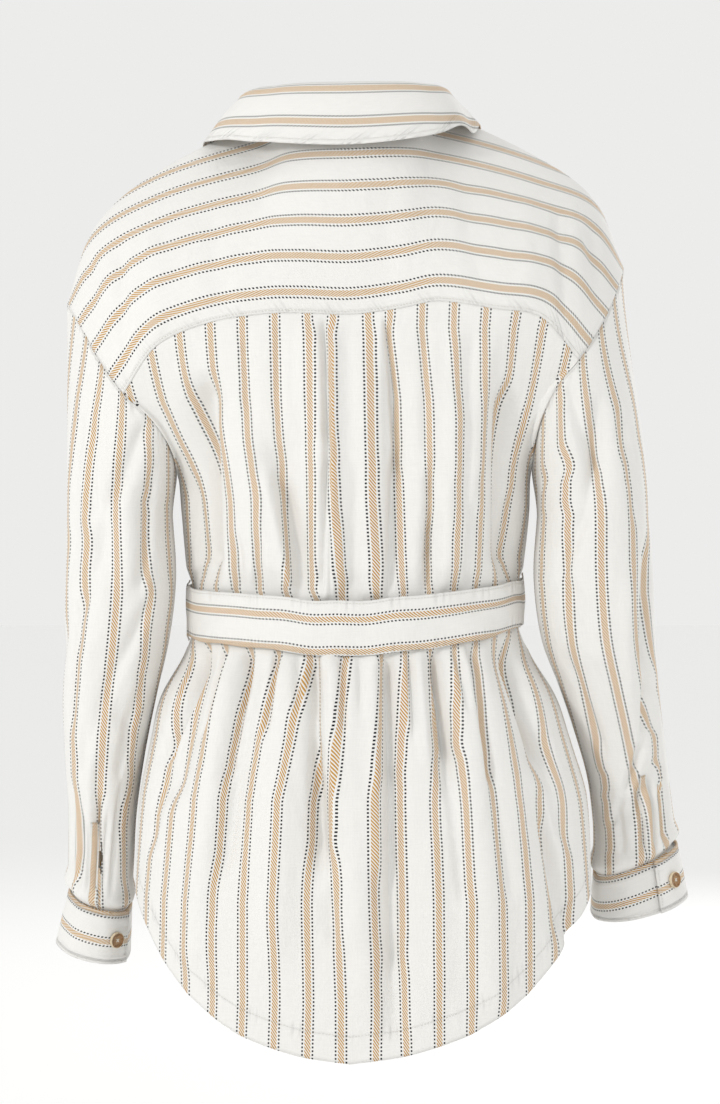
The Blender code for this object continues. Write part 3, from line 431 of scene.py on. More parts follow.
# Columns of the fine grids, closest where the back's pleat lies.
BACK_STOPS = (-1, -BACK_YOKE_TURN, -0.30, 0.22, BACK_YOKE_TURN, 1)
BACK_COLUMNS = (24, 50, 100, 58, 24)
FRONT_STOPS = (1, FRONT_ARMHOLE_TURN, FRONT_YOKE_TURN, BAND_TURN)
FRONT_COLUMNS = (24, 32, 40)
CUFF_STEPS = 260
CUFF_ROWS = 22
BELT_STEPS = 360
BELT_ROWS_ACROSS = 18
BELT_END_ROWS = 90
BELT_END_COLUMNS = 15
FALL_ROWS = 26
STAND_ROWS = 10
BELT_PRESS_FADE = 6

# Creases finer than the solids' folds. Face is 1 on the back and -1 on the front. The two widths
# are the half widths towards +X and towards -X, so that a crease can be sharp on one side.
CREASE_COLUMNS = ("face", "x_top", "z_top", "x_bottom", "z_bottom", "rise",
                  "width_plus", "width_minus")
CREASES = (
    (1, 21, -166, 18.5, -276, -5.6, 5.0, 1.3),
    (1, 18.5, -276, 23, -398, -5.6, 5.0, 1.4),
    (1, 15, -168, 14, -398, 3.2, 1.6, 9.0),
    (1, -29, -166, -39, -300, -4.6, 1.6, 6.0),
    (1, -36, -280, -33, -398, -4.4, 3.0, 7.0),
    (1, -25, -168, -29, -398, 1.6, 8.0, 2.4),
    (1, 122, -226, 120, -392, -3.5, 7.0, 5.0),
    (1, 112, -240, 106, -398, 3.0, 6.0, 8.0),
    (1, 62, -300, 42, -400, -6.0, 3.4, 9.0),
    (1, 71, -290, 50, -398, 3.4, 5.0, 3.4),
    (1, 90, -176, 86, -250, -1.8, 4.0, 6.0),
    (1, 60, -172, 62, -262, -1.4, 4.0, 5.0),
    (1, 41, -170, 41, -240, 1.2, 6.0, 5.0),
    (1, -63, -170, -64, -280, -1.6, 5.0, 4.0),
    (1, -88, -172, -84, -300, 1.3, 6.0, 6.0),
    (1, -104, -176, -98, -330, -1.8, 6.0, 4.0),
    (1, -120, -182, -108, -300, 1.6, 6.0, 6.0),
    (1, -132, -214, -134, -394, -3.0, 5.0, 7.0),
    (1, -70, -290, -67, -402, -4.4, 6.0, 2.4),
    (1, -82, -300, -78, -402, 2.0, 5.0, 5.0),
    (1, -104, -320, -98, -402, -2.6, 4.0, 5.0),
    (1, -6, -290, -4, -402, -2.0, 6.0, 4.0),
    (1, 8, -330, 7, -402, 1.6, 4.0, 4.0),
    (1, 76, -345, 80, -402, -3.0, 4.0, 6.0),
    (1, 96, -350, 92, -402, -3.0, 5.0, 4.0),
    (1, 140, -300, 132, -392, -4.0, 5.0, 5.0),
    (1, -146, -310, -141, -388, -3.6, 5.0, 5.0),
    (1, 27, -444, 24, -512, -5.4, 7.0, 1.8),
    (1, 24, -512, 20, -620, -5.0, 9.0, 2.0),
    (1, 20, -600, 12, -700, -2.6, 9.0, 4.0),
    (1, 17, -448, 14, -620, 2.4, 2.2, 9.0),
    (1, -29, -446, -33, -560, -5.0, 3.0, 6.0),
    (1, -33, -545, -36, -720, -3.4, 4.0, 8.0),
    (1, -36, -690, -44, -772, -2.0, 6.0, 8.0),
    (1, -22, -448, -25, -640, 2.0, 6.0, 3.0),
    (1, -70, -442, -82, -540, -7.0, 1.8, 7.0),
    (1, -80, -520, -96, -660, -3.0, 5.0, 9.0),
    (1, -60, -446, -66, -540, 2.2, 7.0, 4.0),
    (1, 60, -442, 70, -520, -5.6, 5.0, 2.2),
    (1, 84, -440, 106, -560, -5.6, 6.0, 2.2),
    (1, 98, -540, 116, -680, -2.4, 9.0, 6.0),
    (1, 104, -438, 128, -520, -4.6, 4.0, 2.6),
    (1, 121, -436, 162, -540, -6.4, 5.0, 2.2),
    (1, 158, -520, 172, -620, -3.4, 6.0, 5.0),
    (1, 44, -446, 44, -500, -3.4, 4.0, 3.0),
    (1, 6, -448, 5, -520, -3.6, 4.0, 3.0),
    (1, -8, -448, -9, -500, -2.6, 3.0, 4.0),
    (1, -50, -444, -54, -520, -4.4, 2.4, 5.0),
    (1, -100, -440, -118, -560, -6.0, 2.2, 7.0),
    (1, -116, -540, -136, -660, -2.6, 6.0, 8.0),
    (1, -131, -436, -164, -540, -6.4, 2.4, 7.0),
    (1, -162, -520, -190, -620, -3.6, 5.0, 7.0),
    (1, -168, -590, -190, -700, -4.4, 4.0, 8.0),
    (1, -88, -444, -100, -500, -3.2, 3.0, 4.0),
    (1, -12, -560, -14, -740, 1.8, 14.0, 10.0),
    (1, 60, -560, 66, -720, 2.0, 12.0, 14.0),
    (1, -70, -600, -78, -740, 1.8, 12.0, 12.0),
    (-1, 118, -210, 100, -398, -4.0, 5.0, 8.0),
    (-1, 84, -280, 74, -400, -3.4, 5.0, 7.0),
    (-1, 50, -220, 46, -400, -3.0, 7.0, 5.0),
    (-1, 136, -300, 126, -396, -4.0, 5.0, 6.0),
    (-1, -52, -240, -48, -400, -3.4, 6.0, 6.0),
    (-1, -84, -290, -76, -400, -3.4, 6.0, 5.0),
    (-1, -116, -214, -102, -398, -4.4, 6.0, 5.0),
    (-1, -136, -300, -128, -396, -4.0, 6.0, 5.0),
    (-1, 40, -440, 44, -600, -4.4, 6.0, 3.0),
    (-1, 66, -440, 78, -640, -4.4, 7.0, 3.0),
    (-1, 96, -438, 122, -620, -5.0, 7.0, 4.0),
    (-1, 124, -436, 158, -560, -4.6, 6.0, 4.0),
    (-1, -38, -440, -42, -560, -4.0, 3.0, 6.0),
    (-1, -62, -440, -76, -620, -4.6, 3.0, 7.0),
    (-1, -92, -438, -116, -660, -5.0, 4.0, 7.0),
    (-1, -122, -436, -158, -560, -4.6, 4.0, 6.0),
)
CREASE_FADE = 26
CREASE_START = 12
SMOOTH_PASSES = 160

# Soft folds of the yoke over the shoulders, seen from behind.
YOKE_CREASE_COLUMNS = CREASE_COLUMNS[1:]
YOKE_CREASES = (
    (224, -110, 219, -212, -3.0, 5, 7),
    (197, -100, 192, -224, -2.6, 6, 6),
    (168, -90, 160, -190, 1.6, 10, 10),
    (120, -70, 104, -170, -1.4, 12, 10),
    (60, -30, 70, -120, 1.2, 14, 12),
    (-30, -40, -34, -150, -1.0, 14, 10),
    (-96, -40, -112, -150, -1.6, 10, 14),
    (-178, -70, -184, -168, -2.6, 6, 8),
    (-206, -84, -214, -176, -3.0, 6, 6),
    (-150, -60, -150, -150, 1.6, 12, 12),
)
YOKE_CREASE_START = 10

# How far the yoke stands off its table, more beside its back seam, and how far it laps over that.
YOKE_RISE = 0.1
YOKE_SEAM_RISE = 0.3
YOKE_SEAM_WIDTH = 9
YOKE_LAP = 0.8

# The share of its length over which a fold or crease of a sleeve grows at each end.
SLEEVE_FOLD_FADE = 0.3
SLEEVE_CREASE_FADE = 0.28

# Creases of the sleeves by the angle round the arm, 0 outside, 90 behind and 180 beside the body.
SLEEVE_CREASE_COLUMNS = ("angle_top", "z_top", "angle_bottom", "z_bottom", "rise", "more", "less")
SLEEVE_CREASES = {
    "left": (
        (118, -250, 84, -330, -4.0, 7, 10),
        (84, -330, 52, -420, -2.6, 8, 12),
        (132, -290, 112, -400, -3.6, 6, 9),
        (100, -300, 96, -400, 2.0, 10, 8),
        (40, -240, 36, -380, -2.2, 9, 9),
        (66, -250, 60, -340, -2.0, 6, 9),
        (128, -400, 92, -480, -3.4, 6, 10),
        (92, -480, 60, -560, -2.6, 8, 12),
        (136, -470, 116, -560, -3.4, 6, 9),
        (52, -400, 40, -520, -2.6, 9, 7),
        (76, -500, 74, -610, 1.8, 8, 8),
        (90, -575, 86, -662, -4.0, 3, 5),
        (104, -590, 98, -664, -2.6, 4, 5),
        (72, -600, 72, -664, -2.6, 4, 4),
        (58, -590, 58, -664, -2.4, 4, 4),
        (124, -560, 112, -664, -2.6, 6, 5),
        (32, -560, 34, -664, -2.4, 7, 5),
        (300, -320, 260, -420, -3.0, 9, 9),
        (250, -420, 290, -520, -3.0, 9, 9),
        (310, -500, 270, -600, -3.0, 9, 9),
        (240, -560, 250, -664, -2.4, 6, 6),
        (290, -580, 288, -664, -2.4, 6, 6),
    ),
    "right": (
        (110, -215, 84, -300, -4.0, 8, 10),
        (74, -230, 98, -320, -4.0, 7, 10),
        (98, -320, 128, -390, -3.4, 7, 9),
        (52, -240, 44, -340, -2.4, 8, 8),
        (28, -350, 46, -474, -4.6, 4, 10),
        (46, -474, 66, -525, -4.6, 4, 9),
        (66, -525, 104, -576, -4.4, 4, 9),
        (104, -576, 128, -604, -3.4, 5, 8),
        (58, -380, 72, -500, 2.2, 8, 7),
        (120, -380, 96, -450, -3.0, 7, 9),
        (96, -450, 84, -540, -2.4, 8, 8),
        (134, -450, 118, -540, -3.0, 7, 8),
        (60, -560, 66, -628, -3.4, 4, 5),
        (84, -566, 82, -628, -2.8, 4, 5),
        (44, -560, 50, -628, -2.8, 5, 4),
        (30, -540, 34, -628, -2.4, 6, 5),
        (112, -590, 108, -628, -2.4, 5, 5),
        (300, -300, 260, -400, -3.0, 9, 9),
        (250, -400, 290, -500, -3.0, 9, 9),
        (310, -480, 270, -580, -3.0, 9, 9),
        (240, -540, 250, -628, -2.4, 6, 6),
        (290, -550, 288, -628, -2.4, 6, 6),
    ),
}

# Where the stripe nearest each piece's reference line lies, across the stripes.
FRONT_STRIPE_SHIFT = 13.0
YOKE_STRIPE_SHIFT = 17.0
COLLAR_STRIPE_SHIFT = 10.0
STAND_STRIPE_SHIFT = 12.0
PLACKET_STRIPE_SHIFT = 4.0
KNOT_STRIPE_SHIFT = 8.0
CUFF_STRIPE_SHIFT = 1.0
CUFF_STRIPE_RATIO = 1.2
BELT_STRIPE_SHIFT = 16.0
BELT_END_STRIPE_SHIFT = 8.0
BELT_STRIPE_RATIO = 1.13
SLEEVE_STRIPE_SHIFT = {"left": 0.0, "right": -4.0}
ARC_POWER = 1.4

# Over how many mm from its seams a sleeve's folds and creases grow.
FOLD_CAP_FADE = 34
FOLD_CUFF_FADE = 30
CREASE_CUFF_FADE = 5

# The sleeve's fullness just above its cuff.
PUFF_RISE = 3.4
PUFF_RIPPLE = 0.35
PUFF_HEIGHT = 9
PUFF_SPREAD = 8
PUFF_SEAM = 6

# How much cloth is gathered into the body's width at each height, and the box pleat of the back:
# the heights and places of its left and right edge, and the cloth that each of them takes.
GATHER_COLUMNS = ("z", "left", "right")
GATHER = (
    (-100, 1.12, 1.10),
    (-234, 1.13, 1.20),
    (-320, 1.25, 1.22),
    (-400, 1.25, 1.32),
    (-450, 1.12, 1.32),
    (-580, 1.13, 1.12),
    (-660, 1.08, 1.06),
    (-820, 1.04, 1.08),
)
PLEAT_COLUMNS = ("z", "left", "right", "left_takes", "right_takes", "shift")
PLEAT = (
    (-174, 21.0, -28, 7.2, 11.0, 15.0),
    (-234, 18.5, -38, 7.2, 4.9, 14.1),
    (-320, 19.5, -34, 6.0, 2.3, 12.0),
    (-395, 23.0, -34, 3.4, 2.4, 8.0),
    (-450, 27.0, -29, 29.0, 5.3, 2.7),
    (-500, 26.0, -30, 19.0, 4.0, 7.0),
    (-574, 20.0, -31, 7.9, 2.1, 12.4),
    (-660, 18.0, -30, 3.7, 2.0, 11.4),
    (-744, 18.0, -36, 2.0, 4.0, 8.0),
    (-830, 18.0, -40, 0.0, 3.0, 8.0),
)
PLEAT_EDGE = 3.0
PLEAT_RATIO = 1.04

# The slit beside the left placket: degrees from its middle, half width in degrees, height in mm.
SLIT_BESIDE = 8.4
SLIT_HALF_TURN = 3.2
SLIT_MIDDLE = -630
SLIT_HALF_HEIGHT = 14

# Where along the collar's edge, how far in mm and over what share it settles on the shoulders.
COLLAR_SETTLES = ((0.353, 16.0, 0.042), (0.645, 19.0, 0.026))

# The woven stripe's finest parts and the seams' puckers, in metres, and the slubs of the weave.
TWILL_PITCH = 0.0031
TWILL_SLOPE = 1.4
DOTS_PITCH = 0.0032
DOTS_BESIDE = 0.0020
PUCKER_PITCH = 0.0095
PUCKER_SLOW = 0.041
SLUB_ACROSS = 900
SLUB_ALONG = 70
SEWN_COLOUR = (0.62, 0.58, 0.50, 1)
CLOTH_FINISH = {"Roughness": 0.82, "Sheen Weight": 0.12, "Sheen Roughness": 0.4,
                "Specular IOR Level": 0.25}

# The studio: each light's place, size, power and colour, and what all of them aim at.
LIGHTS = {
    "key": ((2.5, 2.6, 0.8), 0.6, 38, (1.0, 0.995, 0.98)),
    "fill": ((-2.6, 1.2, 0.6), 1.4, 4, (0.97, 0.985, 1.0)),
    "front": ((-1.8, -3.0, 0.6), 0.8, 26, (1.0, 1.0, 1.0)),
}
LIGHT_AIM = (0, -0.05, -0.35)
WORLD_COLOUR = (1.0, 1.0, 0.99, 1)
WORLD_STRENGTH = 0.84
FLOOR_SIZE = 60
FLOOR_COLOUR = (0.985, 0.985, 0.98, 1)
SENSOR = 36
FRAME_HEIGHT = 0.938
CAMERA_X = -0.0085
CAMERA_Z = -0.363
BACK_SURFACE_Y = 0.02

# Distances of the sewn lines from the edges they follow.
HEM_STITCH = 23.0
BAND_STITCH = 32.0
EDGE_STITCH = 2.2
COLLAR_STITCH = 4.0
PLACKET_STITCH = 1.2
NO_STITCH = 400.0


def column(rows, names, name):
    """One named column of a table."""
    return np.array([row[names.index(name)] for row in rows], float)


def through(values, at, closed=False):
    """Points on a smooth curve through the rows of values, at row numbers that may be fractions."""
    values = np.asarray(values, float)
    at = np.asarray(at, float)
    count = len(values)
    if closed:
        low = np.floor(at).astype(int)
        share = at - low
        picks = [values[(low + step) % count] for step in (-1, 0, 1, 2)]
    else:
        low = np.clip(np.floor(at).astype(int), 0, count - 2)
        share = at - low
        before = 2 * values[0] - values[1]
        after = 2 * values[-1] - values[-2]
        padded = np.vstack([before, values, after])
        picks = [padded[low + step] for step in (0, 1, 2, 3)]
    share = share[..., None]
    a, b, c, d = picks
    return 0.5 * (2 * b + (c - a) * share + (2 * a - 5 * b + 4 * c - d) * share**2
                  + (3 * b - a - 3 * c + d) * share**3)


def row_number(keys, at):
    """The row number, with its fraction, at which a rising or falling key column has this value."""
    keys = np.asarray(keys, float)
    rows = np.arange(len(keys))
    if keys[0] > keys[-1]:
        return np.interp(-np.asarray(at), -keys, rows)
    return np.interp(at, keys, rows)


def grid_normals(points, hint):
    """Unit normals of a grid of points, on the side that the hint points to."""
    down = np.gradient(points, axis=0)
    across = np.gradient(points, axis=1)
    normals = np.cross(across, down)
    normals = normals / np.maximum(np.linalg.norm(normals, axis=-1, keepdims=True), 1e-9)
    side = np.sign((normals * hint).sum(-1, keepdims=True))
    return normals * side


def unit(ways):
    """Directions at a length of 1."""
    return ways / np.linalg.norm(ways, axis=-1, keepdims=True)


def ease(share):
    """From 0 to 1, level at both ends."""
    share = np.clip(share, 0, 1)
    return share * share * (3 - 2 * share)


def body_ring(turn, z):
    """The smooth body form: points and level directions out. Turn is 1 at the left side seam."""
    rows = row_number(column(BODY, BODY_COLUMNS, "z"), z)
    table = through(BODY, rows)
    left, right, back, front, square = (table[..., i] for i in range(1, 6))
    turn = np.where(turn > 2, turn - 4, turn)
    turn = np.where(turn < -2, turn + 4, turn)
    away = np.abs(turn)
    on_back = away <= 1
    share = np.where(on_back, away, 2 - away)
    half_width = np.where(turn >= 0, left, right)
    depth = np.where(on_back, back - SIDE_SEAM_Y, front - SIDE_SEAM_Y)
    angles = np.linspace(0, math.pi / 2, 49)
    power = 2 / square[..., None]
    xs = half_width[..., None] * np.sin(angles) ** power
    ys = depth[..., None] * np.cos(angles) ** power
    steps = np.hypot(np.diff(xs, axis=-1), np.diff(ys, axis=-1))
    lengths = np.concatenate([np.zeros(steps.shape[:-1] + (1,)), np.cumsum(steps, -1)], -1)
    wanted = share * lengths[..., -1]
    low = np.clip((lengths < wanted[..., None]).sum(-1) - 1, 0, len(angles) - 2)
    picked = [np.take_along_axis(a, i[..., None], -1)[..., 0]
              for a in (lengths, xs, ys) for i in (low, low + 1)]
    part = (wanted - picked[0]) / np.maximum(picked[1] - picked[0], 1e-9)
    x = picked[2] + (picked[3] - picked[2]) * part
    y = picked[4] + (picked[5] - picked[4]) * part
    side = np.where(turn >= 0, 1.0, -1.0)
    steep = square - 1
    normal_x = (x / half_width) ** steep / half_width
    normal_y = (np.abs(y / depth)) ** steep / np.abs(depth)
    normal_y = np.where(on_back, normal_y, -normal_y)
    size = np.hypot(normal_x, normal_y)
    points = np.stack([side * x, y + SIDE_SEAM_Y, np.broadcast_to(z, x.shape)], -1)
    normals = np.stack([side * normal_x / size, normal_y / size, np.zeros(x.shape)], -1)
    return points, normals


def fold_rise(points, turn):
    """How far the folds lift the cloth off the smooth form."""
    x, z = points[..., 0], points[..., 2]
    away = np.abs(turn)
    face = np.where(away <= 1, 1, -1)
    total = np.zeros(x.shape)
    for row in FOLDS:
        fold = dict(zip(FOLD_COLUMNS, row))
        along = (fold["z_top"] - z) / (fold["z_top"] - fold["z_bottom"])
        line = fold["x_top"] + (fold["x_bottom"] - fold["x_top"]) * along
        across = (x - line) / fold["half_width"]
        fade = FOLD_FADE / (fold["z_top"] - fold["z_bottom"])
        held = ease(along / fade + 0.3) * ease((1 - along) / fade + 0.3)
        total += np.where(face == fold["face"], fold["rise"] * np.exp(-across**2) * held, 0)
    beside_side = ease(np.abs(away - 1) / SEAM_CALM_TURN)
    beside_front = ease((CENTRE_FRONT_TURN - away) / SEAM_CALM_TURN + 0.2)
    return total * beside_side * beside_front


def belt_at(turn):
    """The belt's middle height and width at this turn."""
    rows = row_number(column(BELT, BELT_COLUMNS, "turn"), turn)
    table = through(BELT, rows)
    return table[..., 1], table[..., 2]


def armhole(side, place):
    """Points of the armhole seam at places round it."""
    return through(ARMHOLE[side], place, closed=True) * (SIGNS[side], 1, 1)


def yoke_row(at, first):
    """Points of one line of the yoke's table, whose first column is named."""
    start = YOKE_COLUMNS.index(first)
    return through(np.array(YOKE, float)[:, start:start + 3], at)


def seam_rows(first, low, high, shares):
    """Row numbers of the yoke's table at shares of the length of one of its lines."""
    fine = np.linspace(low, high, 200)
    points = yoke_row(fine, first)
    lengths = np.concatenate([[0], np.cumsum(np.linalg.norm(np.diff(points, axis=0), axis=1))])
    return np.interp(np.asarray(shares) * lengths[-1], lengths, fine)


def back_top(turns):
    """The back panel's top edge: the yoke seam, then down each armhole."""
    middle = (len(YOKE) - 1) / 2
    points = np.zeros((len(turns), 3))
    for i, turn in enumerate(turns):
        side = "left" if turn >= 0 else "right"
        away = abs(turn)
        if away <= BACK_YOKE_TURN:
            end = 0 if side == "left" else len(YOKE) - 1
            at = seam_rows("seam_x", middle, end, [away / BACK_YOKE_TURN])
            points[i] = yoke_row(at, "seam_x")[0]
        else:
            share = (away - BACK_YOKE_TURN) / (1 - BACK_YOKE_TURN)
            points[i] = armhole(side, BACK_CORNER + share * (UNDERARM - BACK_CORNER))
    return points


def front_top(side, turns):
    """A front's top edge: up the armhole, along the yoke's front seam and down the neck."""
    end, neck = (0, NECK_LEFT) if side == "left" else (len(YOKE) - 1, NECK_RIGHT)
    points = np.zeros((len(turns), 3))
    for i, away in enumerate(turns):
        if away <= FRONT_ARMHOLE_TURN:
            share = (away - 1) / (FRONT_ARMHOLE_TURN - 1)
            points[i] = armhole(side, UNDERARM + share * (FRONT_CORNER - UNDERARM))
        elif away <= FRONT_YOKE_TURN:
            share = (away - FRONT_ARMHOLE_TURN) / (FRONT_YOKE_TURN - FRONT_ARMHOLE_TURN)
            points[i] = yoke_front(side, end + share * (neck - end))
        else:
            share = (away - FRONT_YOKE_TURN) / (BAND_TURN - FRONT_YOKE_TURN)
            place = share * (len(FRONT_NECK[side]) - 1)
            points[i] = through(FRONT_NECK[side], place) * (SIGNS[side], 1, 1)
    return points


def yoke_front(side, at):
    """The yoke's front seam, through the rows of one shoulder only."""
    rows = np.array(YOKE, float)[:, 6:9]
    if side == "left":
        return through(rows[:NECK_LEFT + 1], at)
    return through(rows[NECK_RIGHT:], np.asarray(at) - NECK_RIGHT)


def column_turns(stops, counts):
    """The turns of a panel's columns, evenly spaced between its stops."""
    parts = [np.linspace(a, b, n, endpoint=False) for a, b, n in zip(stops, stops[1:], counts)]
    return np.concatenate([*parts, [stops[-1]]])


def column_levels(turns):
    """Each column's heights below the landing: to the belt, under it, and down to the hem."""
    middle, width = belt_at(turns)
    away = np.abs(turns)
    hem = through(HEM, row_number(column(HEM, HEM_COLUMNS, "turn"), away))[:, 1]
    stops = (np.full(len(turns), float(LANDING_Z)), middle + width / 2 + BELT_MARGIN,
             middle - width / 2 - BELT_MARGIN, hem)
    parts = []
    for start, stop, rows in zip(stops, stops[1:], (WAIST_ROWS, BELT_ROWS, SKIRT_ROWS)):
        share = np.linspace(0, 1, rows + 1)[1:, None]
        parts.append(start + (stop - start) * share)
    return np.concatenate(parts, 0)


def column_leans(turns, share, corner, plumb):
    """The direction in which each column leaves its top edge, for one side of a panel.

    Share is the turn of the panel's corner, counted from its middle, and the side seam is at 1.
    """
    away = np.asarray(turns, float)
    corner = np.array(corner, float)
    to_corner = ease(away / share)[:, None] ** 1.5
    to_side = ease((away - share) / (1 - share))[:, None]
    inner = np.array(plumb) * (1 - to_corner) + corner * to_corner
    outer = corner * (1 - to_side) + np.array(SIDE_PLUMB) * to_side
    ways = np.where((away <= share)[:, None], inner, outer)
    return unit(ways)


def back_leans(turns):
    """The directions in which the back's columns leave the yoke."""
    ways = column_leans(np.abs(turns), BACK_YOKE_TURN, BACK_CORNER_LEAN, BACK_PLUMB)
    ways[:, 0] *= np.where(turns >= 0, 1, -1)
    return ways


def front_leans(side, away):
    """The directions in which a front's columns leave its top edge."""
    share = CENTRE_FRONT_TURN - FRONT_ARMHOLE_TURN
    from_middle = np.maximum(CENTRE_FRONT_TURN - away, 0)
    ways = column_leans(from_middle, share, FRONT_CORNER_LEAN, FRONT_PLUMB)
    return ways * (SIGNS[side], 1, 1)


def hang_profile(foot, top, foot_way, top_way, shares):
    """Points from foot to top that leave and arrive along the two given directions."""
    s = np.asarray(shares)[:, None, None]
    span = np.linalg.norm(top - foot, axis=-1, keepdims=True)
    return ((2 * s**3 - 3 * s**2 + 1) * foot + (s**3 - 2 * s**2 + s) * span * foot_way
            + (3 * s**2 - 2 * s**3) * top + (s**3 - s**2) * span * top_way)


def sleeve_ring(table, angles, rows):
    """Rings of a sleeve or cuff table at row numbers: points and outward directions."""
    values = through(table, rows)
    picked = {name: values[:, i][:, None] for i, name in enumerate(SLEEVE_COLUMNS)}
    power = 2 / SLEEVE_SQUARENESS
    cos, sin = np.cos(angles)[None], np.sin(angles)[None]
    unit_x = np.sign(cos) * np.abs(cos) ** power
    unit_y = np.sign(sin) * np.abs(sin) ** power
    half = (picked["outer"] - picked["inner"]) / 2
    local_x = half * unit_x
    local_y = picked["half_depth"] * unit_y
    x = (picked["outer"] + picked["inner"]) / 2 + local_x
    y = picked["y"] + local_y
    z = picked["z"] + picked["roll"] * local_x + picked["pitch"] * local_y
    out = np.stack([cos / half, sin / picked["half_depth"], np.zeros(x.shape)], -1)
    return np.stack([x, y, z], -1), unit(out)


def at_shares(points, shares):
    """Points at these shares of a line's length."""
    steps = np.linalg.norm(np.diff(points, axis=0), axis=1)
    lengths = np.concatenate([[0], np.cumsum(steps)]) / steps.sum()
    return np.stack([np.interp(shares, lengths, points[:, i]) for i in range(3)], -1)


def front_face(x, z):
    """How far forward the smooth body form lies at this place near the centre front."""
    table = through(BODY, row_number(column(BODY, BODY_COLUMNS, "z"), z))
    half_width = np.where(x >= 0, table[..., 1], table[..., 2])
    inside = 1 - (np.abs(x) / half_width) ** table[..., 5]
    return SIDE_SEAM_Y + (table[..., 4] - SIDE_SEAM_Y) * inside ** (1 / table[..., 5])


def crease_rise(points, turn):
    """How far the fine creases lift or sink the body's cloth."""
    x, z = points[..., 0], points[..., 2]
    face = np.where(np.abs(turn) <= 1, 1, -1)
    total = np.zeros(x.shape)
    for row in CREASES:
        crease = dict(zip(CREASE_COLUMNS, row))
        total += np.where(face == crease["face"], one_crease(x, z, crease, CREASE_FADE), 0)
    return total * ease(np.abs(np.abs(turn) - 1) / SEAM_CALM_TURN)


def one_crease(x, z, crease, fade_length):
    """One crease along a straight line in the view from behind, sharper on one side."""
    span = crease["z_top"] - crease["z_bottom"]
    along = (crease["z_top"] - z) / span
    line = crease["x_top"] + (crease["x_bottom"] - crease["x_top"]) * along
    off = x - line
    across = off / np.where(off > 0, crease["width_plus"], crease["width_minus"])
    fade = fade_length / span
    held = ease(along / fade + 0.35) * ease((1 - along) / fade + 0.35)
    return crease["rise"] * np.exp(-across**2) * held


def under_belt(turn, z):
    """1 where the belt presses the cloth flat, 0 away from it."""
    middle, width = belt_at(turn)
    return 1 - ease((np.abs(z - middle) - width / 2) / BELT_PRESS_FADE)


def running_length(points, axis):
    """The length along a grid's lines, from their first point."""
    steps = np.linalg.norm(np.diff(points, axis=axis), axis=-1)
    start = np.zeros_like(np.take(steps, [0], axis))
    return np.concatenate([start, np.cumsum(steps, axis)], axis)


def lengths_mm(points):
    """The lengths down and across a grid in metres, in millimetres."""
    return running_length(points, 0) / MM, running_length(points, 1) / MM


def smoothed(values):
    """Values averaged with their neighbours across the columns, many times."""
    for _ in range(SMOOTH_PASSES):
        padded = np.pad(values, ((0, 0), (1, 1)), "edge")
        values = (padded[:, :-2] + 2 * padded[:, 1:-1] + padded[:, 2:]) / 4
    return values


def section_length(x, drop):
    """The length round a level section from its middle to a point this far out and down."""
    both = np.abs(x) ** ARC_POWER + np.maximum(drop, 0) ** ARC_POWER
    return np.sign(x) * both ** (1 / ARC_POWER)


def by_height(table, names, name, z):
    """A column of a table of falling heights, at these heights."""
    return np.interp(-z, -column(table, names, "z"), column(table, names, name))


def gathered(x, arc, z):
    """The place across the cloth, from the place round the body, where gathers take some of it."""
    left = by_height(GATHER, GATHER_COLUMNS, "left", z)
    right = by_height(GATHER, GATHER_COLUMNS, "right", z)
    return arc * np.where(x >= 0, left, right)


def pleated(x, arc, z):
    """The same on the back, whose box pleat is flat and hides cloth behind each of its edges."""
    pleat = {name: by_height(PLEAT, PLEAT_COLUMNS, name, z) for name in PLEAT_COLUMNS[1:]}
    inside = np.clip(x, pleat["right"], pleat["left"])
    hidden = (pleat["left_takes"] * ease((x - pleat["left"]) / PLEAT_EDGE + 0.5)
              - pleat["right_takes"] * ease((pleat["right"] - x) / PLEAT_EDGE + 0.5))
    return (gathered(x, arc, z) - gathered(x, inside, z) + inside * PLEAT_RATIO + hidden
            - pleat["shift"])


def panel(turns, tops, leans, layer, strength):
    """A body panel's cloth: its points, and the place of each across and along the stripes."""
    z = column_levels(turns)
    turn = np.broadcast_to(turns, z.shape)
    below, normals = body_ring(turn, z)
    landing, landing_normals = body_ring(turns, np.full(len(turns), float(LANDING_Z)))
    ahead = body_ring(turns, np.full(len(turns), LANDING_Z - LANDING_STEP))[0] - landing
    above = hang_profile(tops, landing, leans, unit(ahead), np.linspace(0, 1, TOP_ROWS + 1))
    smooth = np.concatenate([above, below], 0)
    level = np.concatenate([np.repeat(landing_normals[None], len(above), 0), normals], 0)
    normals = grid_normals(smooth, level)
    turn = np.broadcast_to(turns, smooth.shape[:2])
    pressed = under_belt(turn, smooth[..., 2])
    fallen = np.linalg.norm(smooth - tops, axis=-1)
    folds = fold_rise(smooth, turn) * ease(fallen / FOLD_START)
    creases = crease_rise(smooth, turn) * ease(fallen / CREASE_START)
    rise = (folds + creases * strength) * (1 - pressed)
    rise = rise + layer * ease((np.abs(turn) - LAP_TURN) / LAP_RAMP)
    points = smooth + normals * rise[..., None]
    row = smooth[..., 2].mean(1)
    middle_y = body_ring(np.zeros(len(row)), row)[0][:, 1]
    front_y = body_ring(np.full(len(row), 2.0), row)[0][:, 1]
    reference = np.where(np.abs(turn) <= 1, middle_y[:, None] - smooth[..., 1],
                         smooth[..., 1] - front_y[:, None])
    arc = section_length(smooth[..., 0], reference)
    place = pleated if abs(turns[0]) <= 1 and abs(turns[-1]) <= 1 else gathered
    across = place(smooth[..., 0], arc, smooth[..., 2])
    extra = running_length(points[..., :2], 1) - running_length(smooth[..., :2], 1)
    across = across + np.sign(turns[-1] - turns[0]) * (extra - smoothed(extra))
    return points * MM, across, -points[..., 2]


